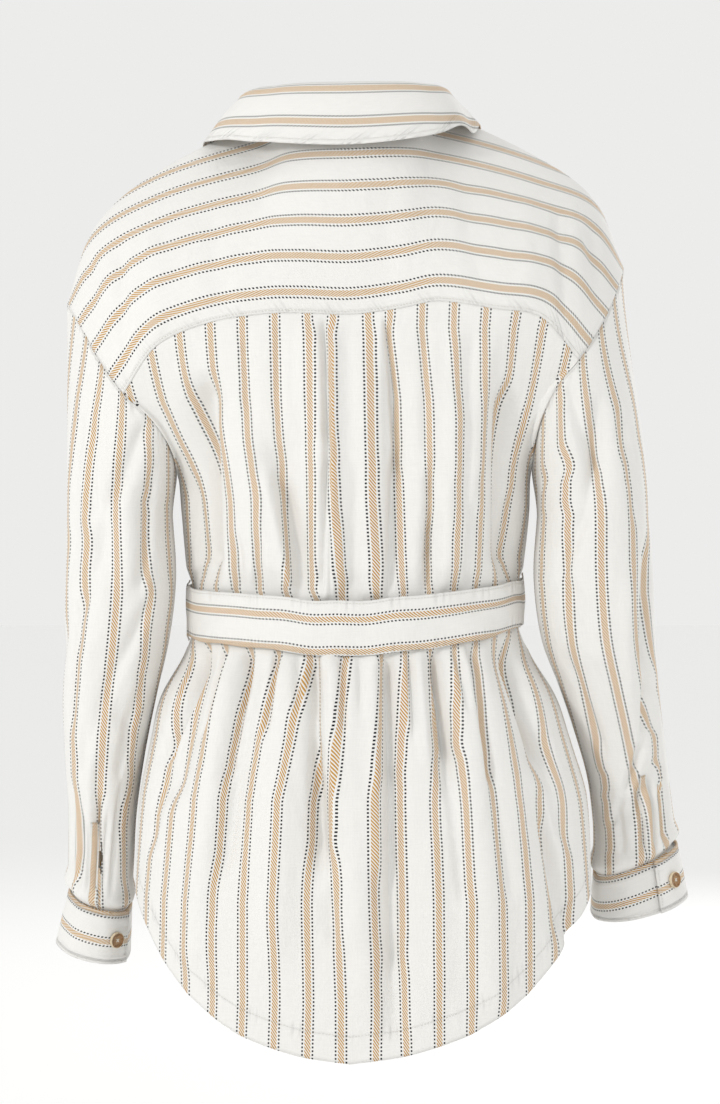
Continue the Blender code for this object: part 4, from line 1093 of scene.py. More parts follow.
def pick(piece):
    """Selects one object alone and makes it the active one."""
    bpy.ops.object.select_all(action="DESELECT")
    piece.select_set(True)
    bpy.context.view_layer.objects.active = piece


def mesh_object(name, mesh, material):
    """Turns a bmesh into an object of the scene with one material."""
    bmesh.ops.recalc_face_normals(mesh, faces=mesh.faces)
    data = bpy.data.meshes.new(name)
    mesh.to_mesh(data)
    mesh.free()
    piece = bpy.data.objects.new(name, data)
    bpy.context.scene.collection.objects.link(piece)
    data.materials.append(bpy.data.materials[material])
    return piece


def cloth_object(name, points, thick, across, along, stitch, run, closed=False, kept=None):
    """A cloth piece from a grid of points, with its place across and along the stripes as one UV
    map and its distance from, and place along, its sewn line as another."""
    rows, columns = points.shape[:2]
    mesh = bmesh.new()
    corners = [[mesh.verts.new(points[r, c]) for c in range(columns)] for r in range(rows)]
    cloth_map = mesh.loops.layers.uv.new("cloth")
    sewn_map = mesh.loops.layers.uv.new("sewn")
    last = columns if closed else columns - 1
    for r in range(rows - 1):
        for c in range(last):
            if kept is not None and not kept[r, c]:
                continue
            d = (c + 1) % columns
            above, below = corners[r], corners[r + 1]
            face = mesh.faces.new((above[c], above[d], below[d], below[c]))
            face.smooth = True
            for loop, (i, j) in zip(face.loops, ((r, c), (r, c + 1), (r + 1, c + 1), (r + 1, c))):
                loop[cloth_map].uv = (across[i, j] * MM, along[i, j] * MM)
                loop[sewn_map].uv = (stitch[i, j] * MM, run[i, j] * MM)
    loose = [v for v in mesh.verts if not v.link_faces]
    bmesh.ops.delete(mesh, geom=loose, context="VERTS")
    piece = mesh_object(name + "_cloth", mesh, "jacket_cloth")
    wall = piece.modifiers.new("Wall", "SOLIDIFY")
    wall.thickness = thick
    wall.offset = 0
    wall.use_even_offset = False
    pick(piece)
    bpy.ops.object.modifier_apply(modifier="Wall")
    return piece


def stands_for(piece, node):
    """Says which body the piece moves with and which solid it replaces."""
    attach(piece, "root")
    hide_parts(node)


def yoke_points():
    """The yoke's grid, from its back seam over the shoulders, and which faces it keeps."""
    sections = len(YOKE) - 1
    at = np.linspace(0, sections, sections * YOKE_COLUMNS_PER_SECTION + 1)
    seam = yoke_row(at, "seam_x")
    top = yoke_row(at, "top_x")
    front = np.zeros(top.shape)
    left = at <= NECK_LEFT
    right = at >= NECK_RIGHT
    front[left] = yoke_front("left", at[left])
    front[right] = yoke_front("right", at[right])
    for side, line in (("left", 0), ("right", -1)):
        seam[line] = armhole(side, BACK_CORNER)
        top[line] = armhole(side, 0)
        front[line] = armhole(side, FRONT_CORNER)
    lean = np.abs(at - sections / 2) / (sections / 2)
    out_way = np.sign(seam[:, 0])
    foot_way = np.stack([out_way * 0.5 * lean**3, 0.25 - 0.1 * lean, 1 - 0.25 * lean], -1)
    over_way = np.stack([-out_way * 0.1 * lean, -0.7 - 0.05 * lean, 0.75 - 0.55 * lean], -1)
    back = hang_profile(seam, top, foot_way, over_way, np.linspace(0, 1, YOKE_BACK_ROWS + 1))
    end_way = np.stack([-out_way * 0.35 * lean, -0.6 + 0 * lean, -0.8 + 0 * lean], -1)
    start_way = np.stack([over_way[:, 0], over_way[:, 1], -0.05 + 0 * lean], -1)
    fore = hang_profile(top, front, start_way, end_way, np.linspace(0, 1, YOKE_FRONT_ROWS + 1))
    grid = np.concatenate([back, fore[1:]], 0)
    for side, line in (("left", 0), ("right", -1)):
        back_part = armhole(side, np.linspace(BACK_CORNER, 0, YOKE_BACK_ROWS + 1))
        places = np.linspace(len(ARMHOLE[side]), FRONT_CORNER, YOKE_FRONT_ROWS + 1)
        fore_part = armhole(side, places)
        grid[:, line] = np.concatenate([back_part, fore_part[1:]], 0)
    kept = np.ones((len(grid) - 1, len(at) - 1), bool)
    middle = (at[:-1] >= NECK_LEFT) & (at[:-1] < NECK_RIGHT)
    kept[YOKE_BACK_ROWS:, middle] = False
    return grid, kept


def make_yoke(strength):
    """The yoke over both shoulders, lapped over the panel's top edge."""
    grid, kept = yoke_points()
    down = running_length(grid, 0)
    normals = grid_normals(grid, np.array([0, 1, 0.6]))
    rise = np.zeros(grid.shape[:2])
    for row in YOKE_CREASES:
        crease = dict(zip(YOKE_CREASE_COLUMNS, row))
        rise += one_crease(grid[..., 0], grid[..., 2], crease, CREASE_FADE)
    rise[YOKE_BACK_ROWS:] = 0
    from_end = np.minimum(np.arange(grid.shape[1]), np.arange(grid.shape[1])[::-1])
    rise *= ease(down / YOKE_CREASE_START) * ease(from_end / YOKE_COLUMNS_PER_SECTION) * strength
    lapped = YOKE_SEAM_RISE * (1 - ease(down / YOKE_SEAM_WIDTH)) + YOKE_RISE
    grid = grid + normals * (rise + lapped)[..., None]
    grid[0] += unit(grid[0] - grid[1]) * YOKE_LAP
    across = down - YOKE_STRIPE_SHIFT
    along = running_length(grid, 1)
    piece = cloth_object("back_yoke", grid * MM, CLOTH, across, along, down - EDGE_STITCH, along,
                         kept=kept)
    stands_for(piece, "back_yoke")


def make_back(strength):
    """The back panel with its box pleat, gathers and flutes."""
    turns = column_turns(BACK_STOPS, BACK_COLUMNS)
    points, across, along = panel(turns, back_top(turns), back_leans(turns), 0.0, strength)
    above_hem = running_length(points[::-1], 0)[::-1] / MM
    run = running_length(points, 1) / MM
    piece = cloth_object("back_panel", points, CLOTH, across, along, above_hem - HEM_STITCH, run)
    stands_for(piece, "back_panel")


def front_grid(side, strength):
    """A front's cloth, with its places across and along the stripes."""
    away = column_turns(FRONT_STOPS, FRONT_COLUMNS)
    sign = SIGNS[side]
    return panel(sign * away, front_top(side, away), front_leans(side, away),
                 -sign * LAP_LAYER, strength)


def make_front(side, strength):
    """A front, sewn beside its band and its hem, whichever is nearer."""
    points, across, along = front_grid(side, strength)
    above_hem = running_length(points[::-1], 0)[::-1] / MM
    run = running_length(points, 1) / MM
    from_edge = run[:, -1:] - run
    to_hem = above_hem - HEM_STITCH
    to_band = from_edge - BAND_STITCH
    nearer_hem = np.abs(to_hem) < np.abs(to_band)
    piece = cloth_object("front_" + side, points, CLOTH, across - FRONT_STRIPE_SHIFT, along,
                         np.where(nearer_hem, to_hem, to_band), np.where(nearer_hem, run, along))
    stands_for(piece, "front_" + side)


def sleeve_crease_rise(side, angles, z):
    """How far a sleeve's folds and creases lift it, by the angle round the arm and the height."""
    degrees = np.degrees(angles)[None]
    total = np.zeros(z.shape)
    for row in SLEEVE_FOLDS[side]:
        fold = dict(zip(SLEEVE_FOLD_COLUMNS, row))
        total += turned_crease(degrees, z, fold, fold["half_angle"], fold["half_angle"],
                               SLEEVE_FOLD_FADE)
    fine = np.zeros(z.shape)
    for row in SLEEVE_CREASES[side]:
        crease = dict(zip(SLEEVE_CREASE_COLUMNS, row))
        fine += turned_crease(degrees, z, crease, crease["more"], crease["less"],
                              SLEEVE_CREASE_FADE)
    inner = 1 - ease((np.cos(angles) + 0.9) / 0.5)[None]
    return total * (1 - inner), fine * (1 - 0.8 * inner)


def turned_crease(degrees, z, crease, more, less, fade):
    """One crease that runs down a sleeve while it turns round it, sharper on one side."""
    along = (crease["z_top"] - z) / (crease["z_top"] - crease["z_bottom"])
    turn = (crease["angle_bottom"] - crease["angle_top"] + 180) % 360 - 180
    off = (degrees - crease["angle_top"] - turn * along + 180) % 360 - 180
    across = off / np.where(off > 0, more, less)
    held = ease(along / fade + 0.3) * ease((1 - along) / fade + 0.3)
    return crease["rise"] * np.exp(-across**2) * held


def sleeve_points(side, strength):
    """The sleeve from its armhole to the cuff, and its places across and along the stripes."""
    angles = np.linspace(0, 2 * math.pi, SLEEVE_SIDES + 1)
    sections = len(SLEEVE[side]) - 1
    rows = np.linspace(0, sections, sections * SLEEVE_ROWS_PER_SECTION + 1)
    tube, out = sleeve_ring(SLEEVE[side], angles, rows)
    hole = through(ARMHOLE[side], angles / (2 * math.pi) * len(ARMHOLE[side]), closed=True)
    hole = hole + CAP_GAP * np.array(CAP_AWAY)
    share = np.linspace(0, 1, SLEEVE_CAP_ROWS + 1)[:-1, None, None]
    soft = ease(share)
    cap = hole[None] * (1 - share) + tube[:1] * share
    cap[..., :2] = hole[None, :, :2] * (1 - soft) + tube[:1, :, :2] * soft
    smooth = np.concatenate([cap, tube], 0)
    out = np.concatenate([np.repeat(out[:1], SLEEVE_CAP_ROWS, 0), out], 0)
    folds, creases = sleeve_crease_rise(side, angles, smooth[..., 2])
    down = running_length(smooth, 0)
    up = running_length(smooth[::-1], 0)[::-1]
    full = PUFF_RISE * (1 + PUFF_RIPPLE * np.sin(7 * angles + 1) * np.sin(3 * angles))
    full = full * np.exp(-((up - PUFF_HEIGHT) / PUFF_SPREAD) ** 2)
    fine = creases * strength * ease(down / CREASE_START) * ease(up / CREASE_CUFF_FADE)
    rise = folds * ease(down / FOLD_CAP_FADE) * ease(up / FOLD_CUFF_FADE) + fine
    rise = rise + full * ease(up / PUFF_SEAM)
    grid = smooth + out * rise[..., None]
    run = running_length(grid, 1)
    quarter = SLEEVE_SIDES // 4
    across = run - run[:, quarter:quarter + 1] - SLEEVE_STRIPE_SHIFT[side]
    sign = SIGNS[side]
    return grid * (sign, 1, 1) * MM, out * (sign, 1, 1), across, sign * grid[..., 2], down


def around_slit(side, z):
    """Which faces of a sleeve are cloth: all but those of the slit above the left cuff."""
    turn = np.linspace(0, 360, z.shape[1] + 1)[:-1] - PLACKET_TURN[side] - SLIT_BESIDE
    inside = (turn / SLIT_HALF_TURN) ** 2 + np.abs((z - SLIT_MIDDLE) / SLIT_HALF_HEIGHT) ** 1.5
    return (inside > 1) | (side == "right")


def make_sleeve(side, strength):
    """A sleeve and the placket on it."""
    grid, out, across, along, down = sleeve_points(side, strength)
    piece = cloth_object("sleeve_" + side, grid[:, :-1], CLOTH, across, along, down - EDGE_STITCH,
                         across, closed=True, kept=around_slit(side, grid[:, :-1, 2] / MM))
    stands_for(piece, "sleeve_" + side)
    make_placket(side, grid[:, :-1], out[:, :-1])


def make_placket(side, grid, out):
    """The narrow strip beside the sleeve's slit, on the sleeve's own points moved out."""
    sides = grid.shape[1]
    out = grid_normals(grid, out)
    step = 360 / sides
    middle = PLACKET_TURN[side] / step
    half = PLACKET_HALF_TURN / step
    columns = np.linspace(middle - half, middle + half, PLACKET_COLUMNS)
    level = grid[:, int(round(middle)), 2]
    first = int(np.searchsorted(-level, -(level[-1] + PLACKET_LENGTH * MM)))
    low = np.floor(columns).astype(int)
    part = (columns - low)[None, :, None]
    picked = grid[first:-PLACKET_ROWS_SHORT]
    strip = picked[:, low % sides] * (1 - part) + picked[:, (low + 1) % sides] * part
    strip = strip + out[first:-PLACKET_ROWS_SHORT][:, low % sides] * (CLOTH + LAYER_GAP)
    down, across = lengths_mm(strip)
    stitch = np.minimum(across, across[:, -1:] - across) - PLACKET_STITCH
    piece = cloth_object("placket_" + side, strip, CLOTH, across - PLACKET_STRIPE_SHIFT, down,
                         stitch, down)
    stands_for(piece, "placket_" + side)


def cuff_points(side):
    """The cuff as one band that laps over itself at its button."""
    start = CUFF_START[side]
    degrees = np.linspace(start, start + 360 + CUFF_LAP, CUFF_STEPS)
    angles = np.radians(degrees)
    at = np.linspace(0, len(CUFF[side]) - 1, CUFF_ROWS)
    grid, out = sleeve_ring(CUFF[side], angles, at)
    lift = (degrees - start) / (360 + CUFF_LAP)
    reach = (DOUBLE_CLOTH + LAYER_GAP) / MM + CUFF_CLEAR
    rise = CUFF_RISE + reach * ease((lift - CUFF_LIFT_FROM) / CUFF_LIFT_OVER)
    ripple = CUFF_RIPPLE * np.sin(5 * angles) * np.sin(3 * angles + 1)
    grid = grid + out * (rise + ripple)[None, :, None]
    sign = SIGNS[side]
    return grid * (sign, 1, 1) * MM, out * (sign, 1, 1)


def make_cuff(side):
    """A cuff, stitched all round, and its button."""
    grid, out = cuff_points(side)
    down, run = lengths_mm(grid)
    edges = np.minimum(np.minimum(down, down[-1:] - down), np.minimum(run, run[:, -1:] - run))
    at_edge = np.minimum(down, down[-1:] - down) < CUFF_EDGE
    along = np.where(at_edge, run, down)
    piece = cloth_object("cuff_" + side, grid, DOUBLE_CLOTH,
                         (down - CUFF_STRIPE_SHIFT) * CUFF_STRIPE_RATIO, run,
                         edges - EDGE_STITCH, along)
    stands_for(piece, "cuff_" + side)
    middle = CUFF_ROWS // 2
    at = CUFF_STEPS - CUFF_BUTTON_STEPS
    normal = grid_normals(grid, out)[middle, at]
    make_button("cuff_button_" + side, grid[middle, at] + normal * (DOUBLE_CLOTH / 2), normal)


def neck_seam():
    """The neck seam from the left front edge round the back to the right front edge."""
    grid = yoke_points()[0]
    first = NECK_LEFT * YOKE_COLUMNS_PER_SECTION
    last = NECK_RIGHT * YOKE_COLUMNS_PER_SECTION
    down = np.linspace(0, len(FRONT_NECK["left"]) - 1, 80)
    left = through(FRONT_NECK["left"], down)[::-1]
    right = through(FRONT_NECK["right"], down) * (-1, 1, 1)
    middle = [grid[:YOKE_BACK_ROWS:-1, first], grid[YOKE_BACK_ROWS, first:last + 1],
              grid[YOKE_BACK_ROWS + 1:, last]]
    middle = np.concatenate(middle, 0)
    return np.concatenate([left, middle[1:-1], right], 0)


def make_collar():
    """The collar's stand from the neck seam up, and its fall over the shoulders."""
    sections = len(COLLAR) - 1
    at = np.linspace(0, sections, sections * COLLAR_COLUMNS_PER_SECTION + 1)
    values = through(np.array(COLLAR, float), at)
    seam = at_shares(neck_seam(), values[:, 0])
    fold, edge = values[:, 1:4], values[:, 4:7]
    for middle, depth, spread in COLLAR_SETTLES:
        edge[:, 2] -= depth * np.exp(-((values[:, 0] - middle) / spread) ** 2)
    rise = unit(fold - seam)
    inward = unit(np.array([0, NECK_MIDDLE_Y, 0]) - seam * (1, 1, 0))
    base = seam + rise * STAND_SEAT + inward * STAND_INSET
    share = np.linspace(0, 1, STAND_ROWS + 1)[:, None, None]
    stand = base * (1 - share) + (fold - rise * STAND_UNDER_FOLD) * share
    down = running_length(stand, 0)
    run = running_length(stand, 1)
    piece = cloth_object("collar_stand", stand * MM, CLOTH, down - STAND_STRIPE_SHIFT, run,
                         down - EDGE_STITCH, run)
    stands_for(piece, "collar_stand")
    share = np.linspace(0, 1, FALL_ROWS + 1)[:, None, None]
    outward = edge - fold
    outward[:, 2] = 0
    outward = unit(outward)
    crown = FALL_CROWN * np.sin(math.pi * np.minimum(share / FALL_CROWN_SHARE, 1)) ** 2
    lift = FALL_BULGE * np.sin(math.pi * share**0.6) + crown
    fall = fold * (1 - share) + edge * share + outward * lift
    down = running_length(fall, 0)
    run = running_length(fall, 1)
    ends = np.minimum(run, run[:, -1:] - run)
    stitch = np.minimum(down[-1:] - down, ends) - COLLAR_STITCH
    along = np.where(down[-1:] - down < ends, run, down)
    piece = cloth_object("collar_fall", fall * MM, CLOTH, down - COLLAR_STRIPE_SHIFT, run, stitch,
                         along)
    stands_for(piece, "collar_fall")


def make_belt():
    """The belt round the waist with its soft waves, its knot, ends and loops."""
    turn = np.linspace(-2, 2, BELT_STEPS + 1)
    middle, width = belt_at(turn)
    across = np.linspace(0.5, -0.5, BELT_ROWS_ACROSS)[:, None]
    z = middle + width * across
    points, normals = body_ring(np.broadcast_to(turn, z.shape), np.broadcast_to(middle, z.shape))
    points = points.copy()
    points[..., 2] = z
    form = body_ring(np.broadcast_to(turn, z.shape), z)[0]
    bulge = np.maximum(((form - points) * normals).sum(-1), 0).max(0)
    band = BELT_OVER_BAND * (1 - ease((2 - np.abs(turn) - 0.05) / 0.15))
    waves = (BELT_WAVE * np.sin(turn * 11 + across * 4) * np.sin(turn * 5 + 1)
             + BELT_RIPPLE * np.sin(turn * 23 - across * 5))
    from_line = (across - 0.12 + 0.25 * (turn + 0.75)) / BELT_CREASE_WIDTH
    held = ease((-turn - 0.3) / 0.25) * ease((1.05 + turn) / 0.2)
    crease = -BELT_CREASE * np.exp(-from_line**2) * held
    rise = (BELT_EASE + bulge + band)[None] + waves + crease
    points = points + normals * rise[..., None]
    points[..., 2] += (BELT_SWAY * np.sin(turn * 17 + 2) * np.sin(turn * 6)
                       + BELT_EDGE_SWAY * across * np.sin(turn * 29))
    points = points * MM
    down, run = lengths_mm(points)
    edges = np.minimum(down, down[-1:] - down)
    piece = cloth_object("belt", points[:, :-1], DOUBLE_CLOTH,
                         (down - BELT_STRIPE_SHIFT) * BELT_STRIPE_RATIO, run,
                         edges - EDGE_STITCH, run, closed=True)
    stands_for(piece, "belt")
    front = points[:, 0].mean(0)
    face = front[1] - DOUBLE_CLOTH / 2 - LAYER_GAP
    knot = make_knot(front, face)
    for side in ("left", "right"):
        make_belt_end(side, front, face)
        make_loop(side)


def make_knot(front, face):
    """The tie: a pinched band wound over the belt, with the creases of a pulled knot."""
    around = np.linspace(0, 2 * math.pi, KNOT_COLUMNS)
    over = np.linspace(KNOT_POLE, math.pi - KNOT_POLE, KNOT_ROWS)[:, None]
    cos, sin, fall = np.cos(around), np.sin(around), np.cos(over)
    x = np.sign(cos) * np.abs(cos) ** KNOT_POWER * np.sin(over) ** KNOT_POWER
    y = np.sign(sin) * np.abs(sin) ** KNOT_POWER * np.sin(over) ** KNOT_POWER
    z = np.sign(fall) * np.abs(fall) ** KNOT_POWER * np.ones(around.shape)
    half = np.array(KNOT_SIZE) / 2
    creased = 0.075 * np.sin(7 * z + 2.4 * x) + 0.05 * np.sin(12 * z - 3 * x + 1)
    pinch = 1 - KNOT_PINCH * (1 - np.abs(z)) ** 2
    points = np.stack([x * half[0] * pinch * (1 + creased), y * half[1] * (0.98 + creased),
                       z * half[2]], -1)
    points = points * MM + np.array([front[0], face - half[1] * MM, front[2]])
    down, run = lengths_mm(points)
    piece = cloth_object("belt_knot", points[:, :-1], KNOT_CLOTH, down - KNOT_STRIPE_SHIFT, run,
                         down - NO_STITCH, run, closed=True)
    stands_for(piece, "belt_knot")
    return piece


def make_belt_end(side, front, face):
    """One free end of the belt, hanging from under the knot and lying on the front."""
    sign = SIGNS[side]
    share = np.linspace(0, 1, BELT_END_ROWS)[:, None]
    across = np.linspace(-0.5, 0.5, BELT_END_COLUMNS)[None]
    spread = ease(share / BELT_END_SPREAD)
    middle = front[0] / MM + sign * BELT_END_START * (1 - share) + BELT_END_LEAN[side] * share
    x = middle + BELT_END_WIDTH * across * (0.5 + 0.5 * spread)
    top = front[2] / MM - KNOT_SIZE[2] / 2 - BELT_END_DROP
    z = top - BELT_END_LENGTHS[side] * share + 0 * across
    layer = BELT_END_LAYER if side == "left" else 0
    lying = front_face(middle, z) - BELT_END_CLEAR - layer
    hanging = face / MM - KNOT_SIZE[1] / 2 + BELT_END_LAYER / 2 - layer
    y = np.minimum(lying, hanging + BELT_END_FALL * share)
    held = 1 - ease(share / BELT_END_GATHERED)
    gather = held * BELT_END_GATHER * np.cos(across * 4 * math.pi)
    ripple = np.sin(share * 9 + across * 2 + sign) * spread
    y = y - np.abs(gather) - 0.5 * np.abs(ripple)
    points = np.stack([x, y, z], -1) * MM
    down, run = lengths_mm(points)
    edges = np.minimum(np.minimum(run, run[:, -1:] - run), down[-1:] - down)
    piece = cloth_object("belt_end_" + side, points, DOUBLE_CLOTH, run - BELT_END_STRIPE_SHIFT,
                         down, edges - EDGE_STITCH, down)
    stands_for(piece, "belt_end_" + side)


def level_circle(angles):
    """Points of a level circle with a radius of 1."""
    return np.stack([np.cos(angles), np.sin(angles), 0 * angles], -1)


def make_loop(side):
    """A belt loop of plaited thread at the side seam."""
    turn = float(SIGNS[side])
    middle, width = belt_at(np.array([turn]))
    span = width[0] / 2 + LOOP_REACH
    share = np.linspace(-1, 1, LOOP_STEPS)
    z = middle[0] + span * share
    points, normals = body_ring(np.full(len(share), turn), z)
    near = CLOTH / MM / 2 + LOOP_RADIUS + LOOP_FOOT_GAP
    under_belt_x = np.abs(body_ring(np.array([turn]), middle)[0][0, 0])
    over = under_belt_x + BELT_EASE + DOUBLE_CLOTH / MM / 2 + LOOP_RADIUS + LOOP_OVER_BELT
    path = points + normals * near
    held = ease((1 - np.abs(share)) / 0.16)
    path[:, 0] = np.sign(turn) * (np.abs(path[:, 0]) * (1 - held) + over * held)
    rings = []
    for strand in range(3):
        turned = strand * 2 * math.pi / 3 + share * LOOP_TWIST
        middle_line = path + STRAND_RADIUS * level_circle(turned)
        ring = np.linspace(0, 2 * math.pi, STRAND_SIDES, endpoint=False)
        around = STRAND_RADIUS * level_circle(ring)
        rings.append((middle_line[:, None] + around[None]) * MM)
    mesh = bmesh.new()
    for grid in rings:
        corners = [[mesh.verts.new(p) for p in line] for line in grid]
        for above, below in zip(corners, corners[1:]):
            for c in range(STRAND_SIDES):
                d = (c + 1) % STRAND_SIDES
                mesh.faces.new((above[c], above[d], below[d], below[c])).smooth = True
        mesh.faces.new(corners[0])
        mesh.faces.new(corners[-1])
    piece = mesh_object("thread_loop_" + side, mesh, "sewing_thread")
    stands_for(piece, "belt_loop_" + side)


def make_button(name, centre, facing):
    """A sew-through button: turned, drilled, coloured by ring and sewn on with crossed thread."""
    bpy.ops.object.select_all(action="DESELECT")
    radius = BUTTON_RADIUS * MM
    bpy.ops.mesh.primitive_cylinder_add(vertices=BUTTON_SIDES, radius=radius,
                                        depth=BUTTON_THICK * MM)
    button = bpy.context.active_object
    button.name = name + "_sewn"
    bpy.ops.object.mode_set(mode="EDIT")
    bpy.ops.mesh.select_all(action="DESELECT")
    mesh = bmesh.from_edit_mesh(button.data)
    for face in mesh.faces:
        face.select_set(face.normal.z > 0.9)
    bmesh.update_edit_mesh(button.data)
    for step, sink in BUTTON_TURNING:
        bpy.ops.mesh.inset(thickness=step * radius, depth=sink * MM)
    bpy.ops.mesh.select_all(action="DESELECT")
    mesh = bmesh.from_edit_mesh(button.data)
    for edge in mesh.edges:
        rim = all(v.co.xy.length > BUTTON_EDGE * radius for v in edge.verts)
        level = abs(edge.verts[0].co.z - edge.verts[1].co.z) < 1e-6
        edge.select_set(rim and level)
    bmesh.update_edit_mesh(button.data)
    bpy.ops.mesh.bevel(offset=BUTTON_BEVEL * MM, segments=3)
    bpy.ops.object.mode_set(mode="OBJECT")
    for number in range(4):
        angle = math.pi / 4 + number * math.pi / 2
        out = HOLE_PLACE * radius
        bpy.ops.mesh.primitive_cylinder_add(
            vertices=12, radius=HOLE_SIZE * radius, depth=2 * BUTTON_THICK * MM,
            location=(out * math.cos(angle), out * math.sin(angle), 0))
        drill = bpy.context.active_object
        cut = button.modifiers.new("Hole", "BOOLEAN")
        cut.operation = "DIFFERENCE"
        cut.solver = "EXACT"
        cut.object = drill
        pick(button)
        bpy.ops.object.modifier_apply(modifier="Hole")
        bpy.data.objects.remove(drill)
    for finish in ("button_rim", "button_ring", "button_middle"):
        button.data.materials.append(bpy.data.materials[finish])
    for polygon in button.data.polygons:
        away = Vector(polygon.center).xy.length / radius
        on_rim = away > BUTTON_RIM_FROM or polygon.normal.z < 0.1
        polygon.material_index = 0 if on_rim else 1 if away > BUTTON_RING_FROM else 2
    bpy.ops.object.select_all(action="DESELECT")
    bars = []
    for angle in (math.pi / 4, -math.pi / 4):
        bpy.ops.mesh.primitive_cylinder_add(
            vertices=10, radius=BAR_SIZE * radius, depth=BAR_LENGTH * radius,
            location=(0, 0, (0.48 * BUTTON_THICK - BAR_SINK) * MM),
            rotation=(math.pi / 2, 0, angle))
        bar = bpy.context.active_object
        bar.data.materials.append(bpy.data.materials["sewing_thread"])
        bars.append(bar)
    for piece in (*bars, button):
        piece.select_set(True)
    bpy.context.view_layer.objects.active = button
    bpy.ops.object.join()
    turn = Vector(facing).to_track_quat("Z", "Y").to_matrix().to_4x4()
    seat = Vector(centre) + Vector(facing).normalized() * (BUTTON_THICK / 2 + BUTTON_SHANK) * MM
    button.data.transform(Matrix.Translation(seat) @ turn)
    button.data.update()
    pick(button)
    bpy.ops.object.shade_smooth_by_angle(angle=math.radians(35))
    stands_for(button, name)


def make_front_buttons(strength):
    """The buttons down the centre of the right front, which laps over the left."""
    points = front_grid("right", strength)[0]
    turns = column_turns(FRONT_STOPS, FRONT_COLUMNS)
    at = int(round(np.interp(CENTRE_FRONT_TURN, turns, np.arange(len(turns)))))
    normals = grid_normals(points, np.array([0, -1, 0]))
    for number, level in enumerate(FRONT_BUTTON_LEVELS, 1):
        row = int(np.argmin(np.abs(points[:, at, 2] - level * MM)))
        normal = normals[row - 1:row + 2, at].mean(0)
        make_button(f"front_button_{number}", points[row, at] + normal * CLOTH / 2, normal)


def joined(tree, kind, *feeds, **settings):
    """A shader node of this kind with its inputs set or linked in order."""
    node = tree.nodes.new(kind)
    for name, value in settings.items():
        setattr(node, name, value)
    for place, feed in enumerate(feeds):
        if feed is None:
            continue
        if isinstance(feed, bpy.types.NodeSocket):
            tree.links.new(feed, node.inputs[place])
        else:
            node.inputs[place].default_value = feed
    return node


def maths(tree, operation, *feeds):
    """The output of a maths node."""
    return joined(tree, "ShaderNodeMath", *feeds, operation=operation).outputs[0]


def ramp(tree, value, low, high, start=0.0, end=1.0):
    """A smooth step of the value from low to high."""
    node = joined(tree, "ShaderNodeMapRange", value, low, high, start, end,
                  interpolation_type="SMOOTHSTEP")
    return node.outputs[0]


def wave(tree, place, pitch):
    """A sine that repeats at this pitch."""
    turn = maths(tree, "DIVIDE", place, pitch)
    return maths(tree, "SINE", maths(tree, "MULTIPLY", turn, 2 * math.pi))


def noise(tree, place, stretch, detail, distortion=0.0):
    """Noise on a place that is first multiplied by three factors."""
    mapping = joined(tree, "ShaderNodeMapping", place)
    mapping.inputs["Scale"].default_value = stretch
    node = joined(tree, "ShaderNodeTexNoise", mapping.outputs[0])
    for name, value in (("Scale", 1.0), ("Detail", detail), ("Distortion", distortion)):
        node.inputs[name].default_value = value
    return node.outputs[0]


def mixed(tree, share, first, second):
    """The mix of two colours."""
    node = tree.nodes.new("ShaderNodeMix")
    node.data_type = "RGBA"
    for place, feed in ((0, share), (6, first), (7, second)):
        socket = node.inputs[place]
        if isinstance(feed, bpy.types.NodeSocket):
            tree.links.new(feed, socket)
        else:
            socket.default_value = feed
    return node.outputs[2]


def new_group(name, inputs, outputs):
    """An empty node group with its sockets: the tree, its input node and its output node."""
    tree = bpy.data.node_groups.new(name, "ShaderNodeTree")
    for title, kind, default in inputs:
        socket = tree.interface.new_socket(name=title, in_out="INPUT", socket_type=kind)
        if default is not None:
            socket.default_value = default
    for title, kind in outputs:
        tree.interface.new_socket(name=title, in_out="OUTPUT", socket_type=kind)
    return tree, tree.nodes.new("NodeGroupInput"), tree.nodes.new("NodeGroupOutput")


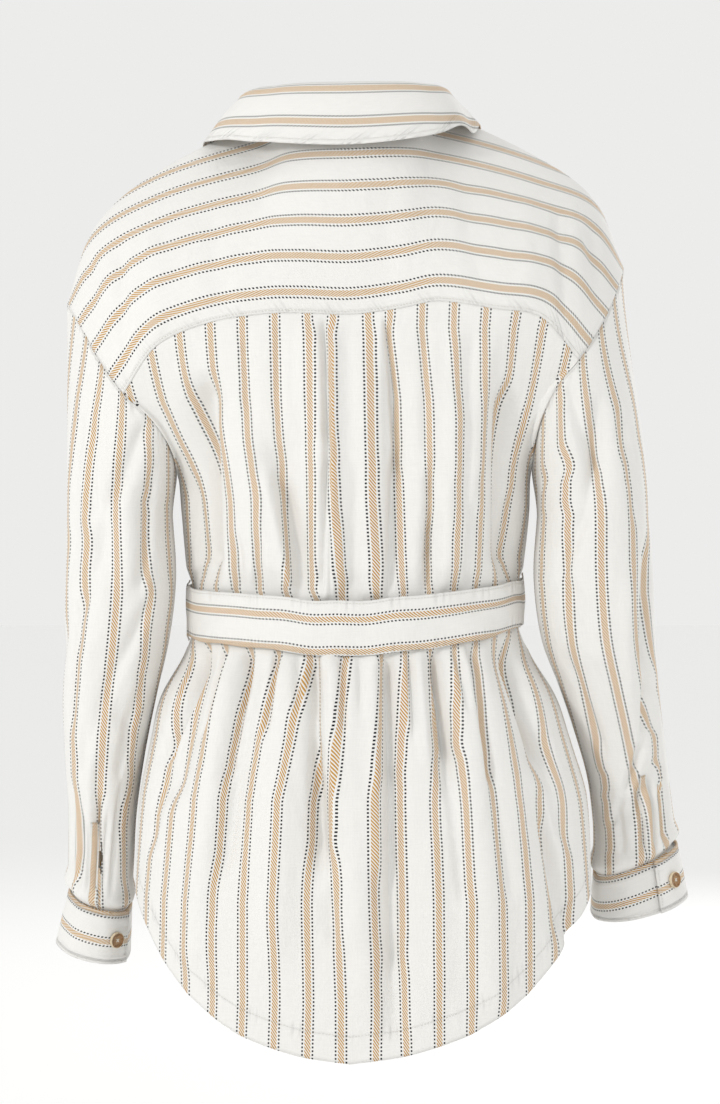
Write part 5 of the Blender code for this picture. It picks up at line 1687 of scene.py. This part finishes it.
def build_stripe_group():
    """The woven stripe: a twilled tan band between two rows of dark stitches on off-white."""
    tree, given, result = new_group(
        "woven_stripe",
        [("Place", "NodeSocketVector", None), ("Repeat", "NodeSocketFloat", 0.031),
         ("Band", "NodeSocketFloat", 0.0052), ("Cloth", "NodeSocketColor", (0.8, 0.8, 0.8, 1)),
         ("Stripe", "NodeSocketColor", (0.6, 0.4, 0.2, 1)),
         ("Dots", "NodeSocketColor", (0, 0, 0, 1))],
        [("Color", "NodeSocketColor"), ("Height", "NodeSocketFloat")])
    place = joined(tree, "ShaderNodeSeparateXYZ", given.outputs["Place"])
    across, along = place.outputs[0], place.outputs[1]
    turns = maths(tree, "DIVIDE", across, given.outputs["Repeat"])
    near = maths(tree, "SUBTRACT", maths(tree, "FRACT", maths(tree, "ADD", turns, 100.5)), 0.5)
    off = maths(tree, "MULTIPLY", near, given.outputs["Repeat"])
    away = maths(tree, "ABSOLUTE", off)
    half_band = maths(tree, "DIVIDE", given.outputs["Band"], 2.0)
    band = ramp(tree, maths(tree, "SUBTRACT", away, half_band), 0.00015, -0.00015)
    slant = maths(tree, "ADD", maths(tree, "MULTIPLY", off, TWILL_SLOPE), along)
    thread = ramp(tree, wave(tree, slant, TWILL_PITCH), -0.45, 0.2)
    tan = mixed(tree, thread, given.outputs["Cloth"], given.outputs["Stripe"])
    cloth = mixed(tree, band, given.outputs["Cloth"], tan)
    line_place = maths(tree, "ADD", half_band, DOTS_BESIDE)
    from_line = maths(tree, "ABSOLUTE", maths(tree, "SUBTRACT", away, line_place))
    line = ramp(tree, from_line, 0.00086, 0.00066)
    dots = maths(tree, "MULTIPLY", line, ramp(tree, wave(tree, along, DOTS_PITCH), -0.2, 0.15))
    tree.links.new(mixed(tree, dots, cloth, given.outputs["Dots"]), result.inputs["Color"])
    raised = maths(tree, "MULTIPLY", band, maths(tree, "MULTIPLY", thread, 0.6))
    height = maths(tree, "ADD", raised, maths(tree, "MULTIPLY", dots, 0.8))
    tree.links.new(height, result.inputs["Height"])
    return tree


def build_weave_group():
    """The ground weave: crossed threads of uneven thickness, with a few slubs."""
    tree, given, result = new_group(
        "ground_weave", [("Place", "NodeSocketVector", None), ("Pitch", "NodeSocketFloat", 0.0007)],
        [("Tone", "NodeSocketFloat"), ("Height", "NodeSocketFloat")])
    place = joined(tree, "ShaderNodeSeparateXYZ", given.outputs["Place"])
    warp, weft = (wave(tree, place.outputs[axis], given.outputs["Pitch"]) for axis in (0, 1))
    crossed = maths(tree, "MULTIPLY", warp, weft)
    slubs = [noise(tree, given.outputs["Place"], stretch, 2.0)
             for stretch in ((SLUB_ACROSS, SLUB_ALONG, 1), (SLUB_ALONG, SLUB_ACROSS, 1))]
    uneven = maths(tree, "ADD", *slubs)
    tree.links.new(uneven, result.inputs["Tone"])
    height = maths(tree, "ADD", maths(tree, "MULTIPLY", crossed, 0.25), uneven)
    tree.links.new(height, result.inputs["Height"])
    return tree


def build_sewing_group():
    """A line of stitches in a groove, a thicker folded edge beyond it and puckers beside it."""
    tree, given, result = new_group(
        "sewn_line", [("Place", "NodeSocketVector", None), ("Length", "NodeSocketFloat", 0.0028)],
        [("Thread", "NodeSocketFloat"), ("Height", "NodeSocketFloat")])
    place = joined(tree, "ShaderNodeSeparateXYZ", given.outputs["Place"])
    away = maths(tree, "ABSOLUTE", place.outputs[0])
    line = ramp(tree, away, 0.00052, 0.00024)
    dash = wave(tree, place.outputs[1], given.outputs["Length"])
    stitch = maths(tree, "MULTIPLY", line, ramp(tree, dash, -0.55, -0.1))
    tree.links.new(stitch, result.inputs["Thread"])
    groove = maths(tree, "MULTIPLY", ramp(tree, away, 0.0018, 0.0003), -0.8)
    folded = ramp(tree, place.outputs[0], 0.0006, -0.0006, 0.0, 0.9)
    raised = maths(tree, "ADD", folded, maths(tree, "MULTIPLY", stitch, 0.7))
    slow = wave(tree, place.outputs[1], PUCKER_SLOW)
    quick = maths(tree, "MULTIPLY", place.outputs[1], 2 * math.pi / PUCKER_PITCH)
    pucker = maths(tree, "SINE", maths(tree, "ADD", quick, maths(tree, "MULTIPLY", slow, 2.4)))
    pucker = maths(tree, "MULTIPLY", pucker, ramp(tree, away, 0.011, 0.0005, 0.0, 0.55))
    pucker = maths(tree, "MULTIPLY", pucker, maths(tree, "ADD", slow, 1.4))
    height = maths(tree, "ADD", maths(tree, "ADD", groove, raised), pucker)
    tree.links.new(height, result.inputs["Height"])
    return tree


def build_rumple_group():
    """The soft unevenness of worn cloth, on the object's own coordinates."""
    tree, given, result = new_group(
        "soft_rumple", [("Place", "NodeSocketVector", None)], [("Height", "NodeSocketFloat")])
    large = noise(tree, given.outputs["Place"], (34, 34, 15), 3.0, 0.6)
    small = noise(tree, given.outputs["Place"], (150, 150, 80), 2.0)
    height = maths(tree, "ADD", large, maths(tree, "MULTIPLY", small, 0.12))
    tree.links.new(height, result.inputs["Height"])
    return tree


def new_material(name):
    """A new material's node tree and its shader."""
    material = bpy.data.materials.new(name)
    material.use_nodes = True
    return material.node_tree, material.node_tree.nodes["Principled BSDF"]


def group_node(tree, group, **values):
    """A group in a material's tree, with its inputs set or linked by name."""
    node = tree.nodes.new("ShaderNodeGroup")
    node.node_tree = group
    for name, value in values.items():
        if isinstance(value, bpy.types.NodeSocket):
            tree.links.new(value, node.inputs[name])
        else:
            node.inputs[name].default_value = value
    return node


def bumped(tree, height, distance, strength, under=None):
    """The normal that a height gives, on top of another normal."""
    node = tree.nodes.new("ShaderNodeBump")
    node.inputs["Distance"].default_value = distance
    node.inputs["Strength"].default_value = strength
    tree.links.new(height, node.inputs["Height"])
    if under is not None:
        tree.links.new(under, node.inputs["Normal"])
    return node.outputs[0]


def build_cloth_material(settings):
    """The striped cloth, with its weave, its sewn lines and its soft rumples."""
    tree, shader = new_material("jacket_cloth")
    cloth_map = joined(tree, "ShaderNodeUVMap", uv_map="cloth")
    sewn_map = joined(tree, "ShaderNodeUVMap", uv_map="sewn")
    body = joined(tree, "ShaderNodeTexCoord")
    stripe = group_node(tree, build_stripe_group(), Place=cloth_map.outputs[0],
                        Repeat=settings.repeat, Band=settings.band, Cloth=(*settings.cloth, 1),
                        Stripe=(*settings.stripe, 1), Dots=(*settings.dots, 1))
    weave = group_node(tree, build_weave_group(), Place=cloth_map.outputs[0])
    sewn = group_node(tree, build_sewing_group(), Place=sewn_map.outputs[0])
    rumple = group_node(tree, build_rumple_group(), Place=body.outputs["Object"])
    tone = ramp(tree, weave.outputs["Tone"], 0.6, 1.4, 0.955, 1.0)
    toned = joined(tree, "ShaderNodeVectorMath", stripe.outputs["Color"], None, operation="SCALE")
    tree.links.new(tone, toned.inputs["Scale"])
    threaded = mixed(tree, maths(tree, "MULTIPLY", sewn.outputs["Thread"], 0.35), toned.outputs[0],
                     SEWN_COLOUR)
    tree.links.new(threaded, shader.inputs["Base Color"])
    normal = None
    for effect, distance, strength in ((rumple, 0.0042, 0.55), (sewn, 0.0008, 0.6),
                                       (stripe, 0.00022, 0.5), (weave, 0.00022, 0.35)):
        normal = bumped(tree, effect.outputs["Height"], distance, strength, normal)
    tree.links.new(normal, shader.inputs["Normal"])
    for name, value in CLOTH_FINISH.items():
        shader.inputs[name].default_value = value


def build_plain_material(name, colour, second, roughness, scale):
    """A finish with a little cloudy change of colour and gloss."""
    tree, shader = new_material(name)
    body = joined(tree, "ShaderNodeTexCoord")
    cloud = joined(tree, "ShaderNodeTexNoise", body.outputs["Object"])
    cloud.inputs["Scale"].default_value = scale
    cloud.inputs["Detail"].default_value = 3.0
    share = ramp(tree, cloud.outputs[0], 0.35, 0.65)
    tree.links.new(mixed(tree, share, (*colour, 1), (*second, 1)), shader.inputs["Base Color"])
    tree.links.new(ramp(tree, cloud.outputs[0], 0.3, 0.7, roughness - 0.05, roughness + 0.08),
                   shader.inputs["Roughness"])
    tree.links.new(bumped(tree, cloud.outputs[0], 0.0001, 0.4), shader.inputs["Normal"])


class JacketClothSettings(bpy.types.PropertyGroup):
    """The cloth's weave, its colours and how deep it creases."""

    repeat: FloatProperty(name="Stripe repeat", description="Distance from one stripe to the next",
                          default=0.031, unit="LENGTH")
    band: FloatProperty(name="Band width", description="Width of the tan band of a stripe",
                        default=0.0054, unit="LENGTH")
    crease: FloatProperty(name="Crease depth", description="Depth of the fine creases, as a factor",
                          default=1.5, subtype="FACTOR", min=0.0, max=2.5)
    cloth: FloatVectorProperty(name="Cloth", description="Colour of the off-white ground", size=3,
                               default=(0.83, 0.82, 0.795), subtype="COLOR")
    stripe: FloatVectorProperty(name="Stripe", description="Colour of the tan band", size=3,
                                default=(0.52, 0.275, 0.045), subtype="COLOR")
    dots: FloatVectorProperty(name="Dots", description="Colour of the dark stitches by the band",
                              size=3, default=(0.006, 0.007, 0.011), subtype="COLOR")


class JacketButtonSettings(bpy.types.PropertyGroup):
    """The colours of a button's rings and of its thread."""

    rim: FloatVectorProperty(name="Rim", description="Colour of the outer rim", size=3,
                             default=(0.72, 0.60, 0.42), subtype="COLOR")
    ring: FloatVectorProperty(name="Ring", description="Colour of the ring inside the rim", size=3,
                              default=(0.20, 0.10, 0.035), subtype="COLOR")
    middle: FloatVectorProperty(name="Middle", description="Colour of the bronze middle", size=3,
                                default=(0.36, 0.21, 0.09), subtype="COLOR")
    thread: FloatVectorProperty(name="Thread", description="Colour of the sewing thread", size=3,
                                default=(0.78, 0.74, 0.66), subtype="COLOR")


class JacketStageSettings(bpy.types.PropertyGroup):
    """The floor, the lights and the camera."""

    distance: FloatProperty(name="Camera distance", default=3.6, unit="LENGTH",
                            description="From the camera to the back's surface")
    light: FloatProperty(name="Light", description="Strength of the studio lights, as a factor",
                         default=1.0, subtype="FACTOR", min=0.0, max=4.0)
    floor: FloatProperty(name="Floor height", description="Height of the floor below the nape",
                         default=-0.95, unit="LENGTH")


class JACKET_OT_materials(bpy.types.Operator):
    """Build the cloth, thread and button finishes"""

    bl_idname = "jacket.materials"
    bl_label = "Finishes"

    def execute(self, context):
        build_cloth_material(context.scene.jacket_cloth)
        colours = context.scene.jacket_buttons
        for name, colour, second, roughness, scale in (
                ("button_rim", colours.rim, 0.8, 0.32, 300),
                ("button_ring", colours.ring, 1.6, 0.25, 400),
                ("button_middle", colours.middle, 0.8, 0.2, 260),
                ("sewing_thread", colours.thread, 0.85, 0.85, 900)):
            build_plain_material(name, colour, [second * c for c in colour], roughness, scale)
        return {"FINISHED"}


class JACKET_OT_body(bpy.types.Operator):
    """Make the yoke, the back and the two fronts"""

    bl_idname = "jacket.body"
    bl_label = "Yoke, back and fronts"

    def execute(self, context):
        strength = context.scene.jacket_cloth.crease
        make_yoke(strength)
        make_back(strength)
        for side in ("left", "right"):
            make_front(side, strength)
        return {"FINISHED"}


class JACKET_OT_collar(bpy.types.Operator):
    """Make the collar's stand and fall"""

    bl_idname = "jacket.collar"
    bl_label = "Collar"

    def execute(self, context):
        make_collar()
        return {"FINISHED"}


class JACKET_OT_sleeves(bpy.types.Operator):
    """Make the sleeves, their plackets, the cuffs and the cuff buttons"""

    bl_idname = "jacket.sleeves"
    bl_label = "Sleeves and cuffs"

    def execute(self, context):
        for side in ("left", "right"):
            make_sleeve(side, context.scene.jacket_cloth.crease)
            make_cuff(side)
        return {"FINISHED"}


class JACKET_OT_belt(bpy.types.Operator):
    """Make the belt, its knot, its ends and its thread loops"""

    bl_idname = "jacket.belt"
    bl_label = "Belt"

    def execute(self, context):
        make_belt()
        return {"FINISHED"}


class JACKET_OT_front_buttons(bpy.types.Operator):
    """Make the buttons down the centre front"""

    bl_idname = "jacket.front_buttons"
    bl_label = "Front buttons"

    def execute(self, context):
        make_front_buttons(context.scene.jacket_cloth.crease)
        return {"FINISHED"}


def add_light(name, place, size, power, colour):
    """A round studio light that faces the garment."""
    data = bpy.data.lights.new(name, "AREA")
    data.shape = "DISK"
    data.size = size
    data.energy = power
    data.color = colour
    light = bpy.data.objects.new(name, data)
    bpy.context.scene.collection.objects.link(light)
    light.location = place
    aim = Vector(LIGHT_AIM) - Vector(place)
    light.rotation_euler = aim.to_track_quat("-Z", "Y").to_euler()


class JACKET_OT_stage(bpy.types.Operator):
    """Make the floor, the lights and the camera"""

    bl_idname = "jacket.stage"
    bl_label = "Stage"

    def execute(self, context):
        stage = context.scene.jacket_stage
        bpy.ops.object.select_all(action="DESELECT")
        bpy.ops.mesh.primitive_plane_add(size=FLOOR_SIZE, location=(0, 0, stage.floor))
        floor = context.active_object
        floor.name = "studio_floor"
        shader = new_material("studio_floor")[1]
        shader.inputs["Base Color"].default_value = FLOOR_COLOUR
        shader.inputs["Roughness"].default_value = 0.9
        floor.data.materials.append(bpy.data.materials["studio_floor"])
        world = bpy.data.worlds.new("studio")
        world.use_nodes = True
        background = world.node_tree.nodes["Background"]
        background.inputs["Color"].default_value = WORLD_COLOUR
        background.inputs["Strength"].default_value = WORLD_STRENGTH
        context.scene.world = world
        context.scene.view_settings.view_transform = "Standard"
        for name, (place, size, power, colour) in LIGHTS.items():
            add_light(name, place, size, power * stage.light, colour)
        camera = bpy.data.cameras.new("camera")
        camera.sensor_width = SENSOR
        camera.sensor_fit = "AUTO"
        camera.lens = SENSOR * stage.distance / FRAME_HEIGHT
        holder = bpy.data.objects.new("camera", camera)
        context.scene.collection.objects.link(holder)
        holder.location = (CAMERA_X, BACK_SURFACE_Y + stage.distance, CAMERA_Z)
        holder.rotation_euler = (math.pi / 2, 0, math.pi)
        context.scene.camera = holder
        return {"FINISHED"}


class JACKET_PT_panel(bpy.types.Panel):
    """Lists the steps and the sizes of the jacket"""

    bl_idname = "JACKET_PT_panel"
    bl_label = "Striped shirt jacket"
    bl_space_type = "VIEW_3D"
    bl_region_type = "UI"
    bl_category = "Jacket"

    def draw(self, context):
        for settings in (context.scene.jacket_cloth, context.scene.jacket_buttons,
                         context.scene.jacket_stage):
            for name in settings.__annotations__:
                self.layout.prop(settings, name)
        for step in STEPS:
            self.layout.operator(step.bl_idname)


SETTINGS = (JacketClothSettings, JacketButtonSettings, JacketStageSettings)
STEPS = (JACKET_OT_materials, JACKET_OT_body, JACKET_OT_collar, JACKET_OT_sleeves, JACKET_OT_belt,
         JACKET_OT_front_buttons, JACKET_OT_stage)


def register():
    for kind in (*SETTINGS, *STEPS, JACKET_PT_panel):
        bpy.utils.register_class(kind)
    bpy.types.Scene.jacket_cloth = PointerProperty(type=JacketClothSettings)
    bpy.types.Scene.jacket_buttons = PointerProperty(type=JacketButtonSettings)
    bpy.types.Scene.jacket_stage = PointerProperty(type=JacketStageSettings)


def unregister():
    del bpy.types.Scene.jacket_stage
    del bpy.types.Scene.jacket_buttons
    del bpy.types.Scene.jacket_cloth
    for kind in (JACKET_PT_panel, *reversed(STEPS), *reversed(SETTINGS)):
        bpy.utils.unregister_class(kind)


def main():
    register()
    bpy.ops.jacket.materials()
    bpy.ops.jacket.body()
    bpy.ops.jacket.collar()
    bpy.ops.jacket.sleeves()
    bpy.ops.jacket.belt()
    bpy.ops.jacket.front_buttons()
    bpy.ops.jacket.stage()


if __name__ == "__main__":
    main()
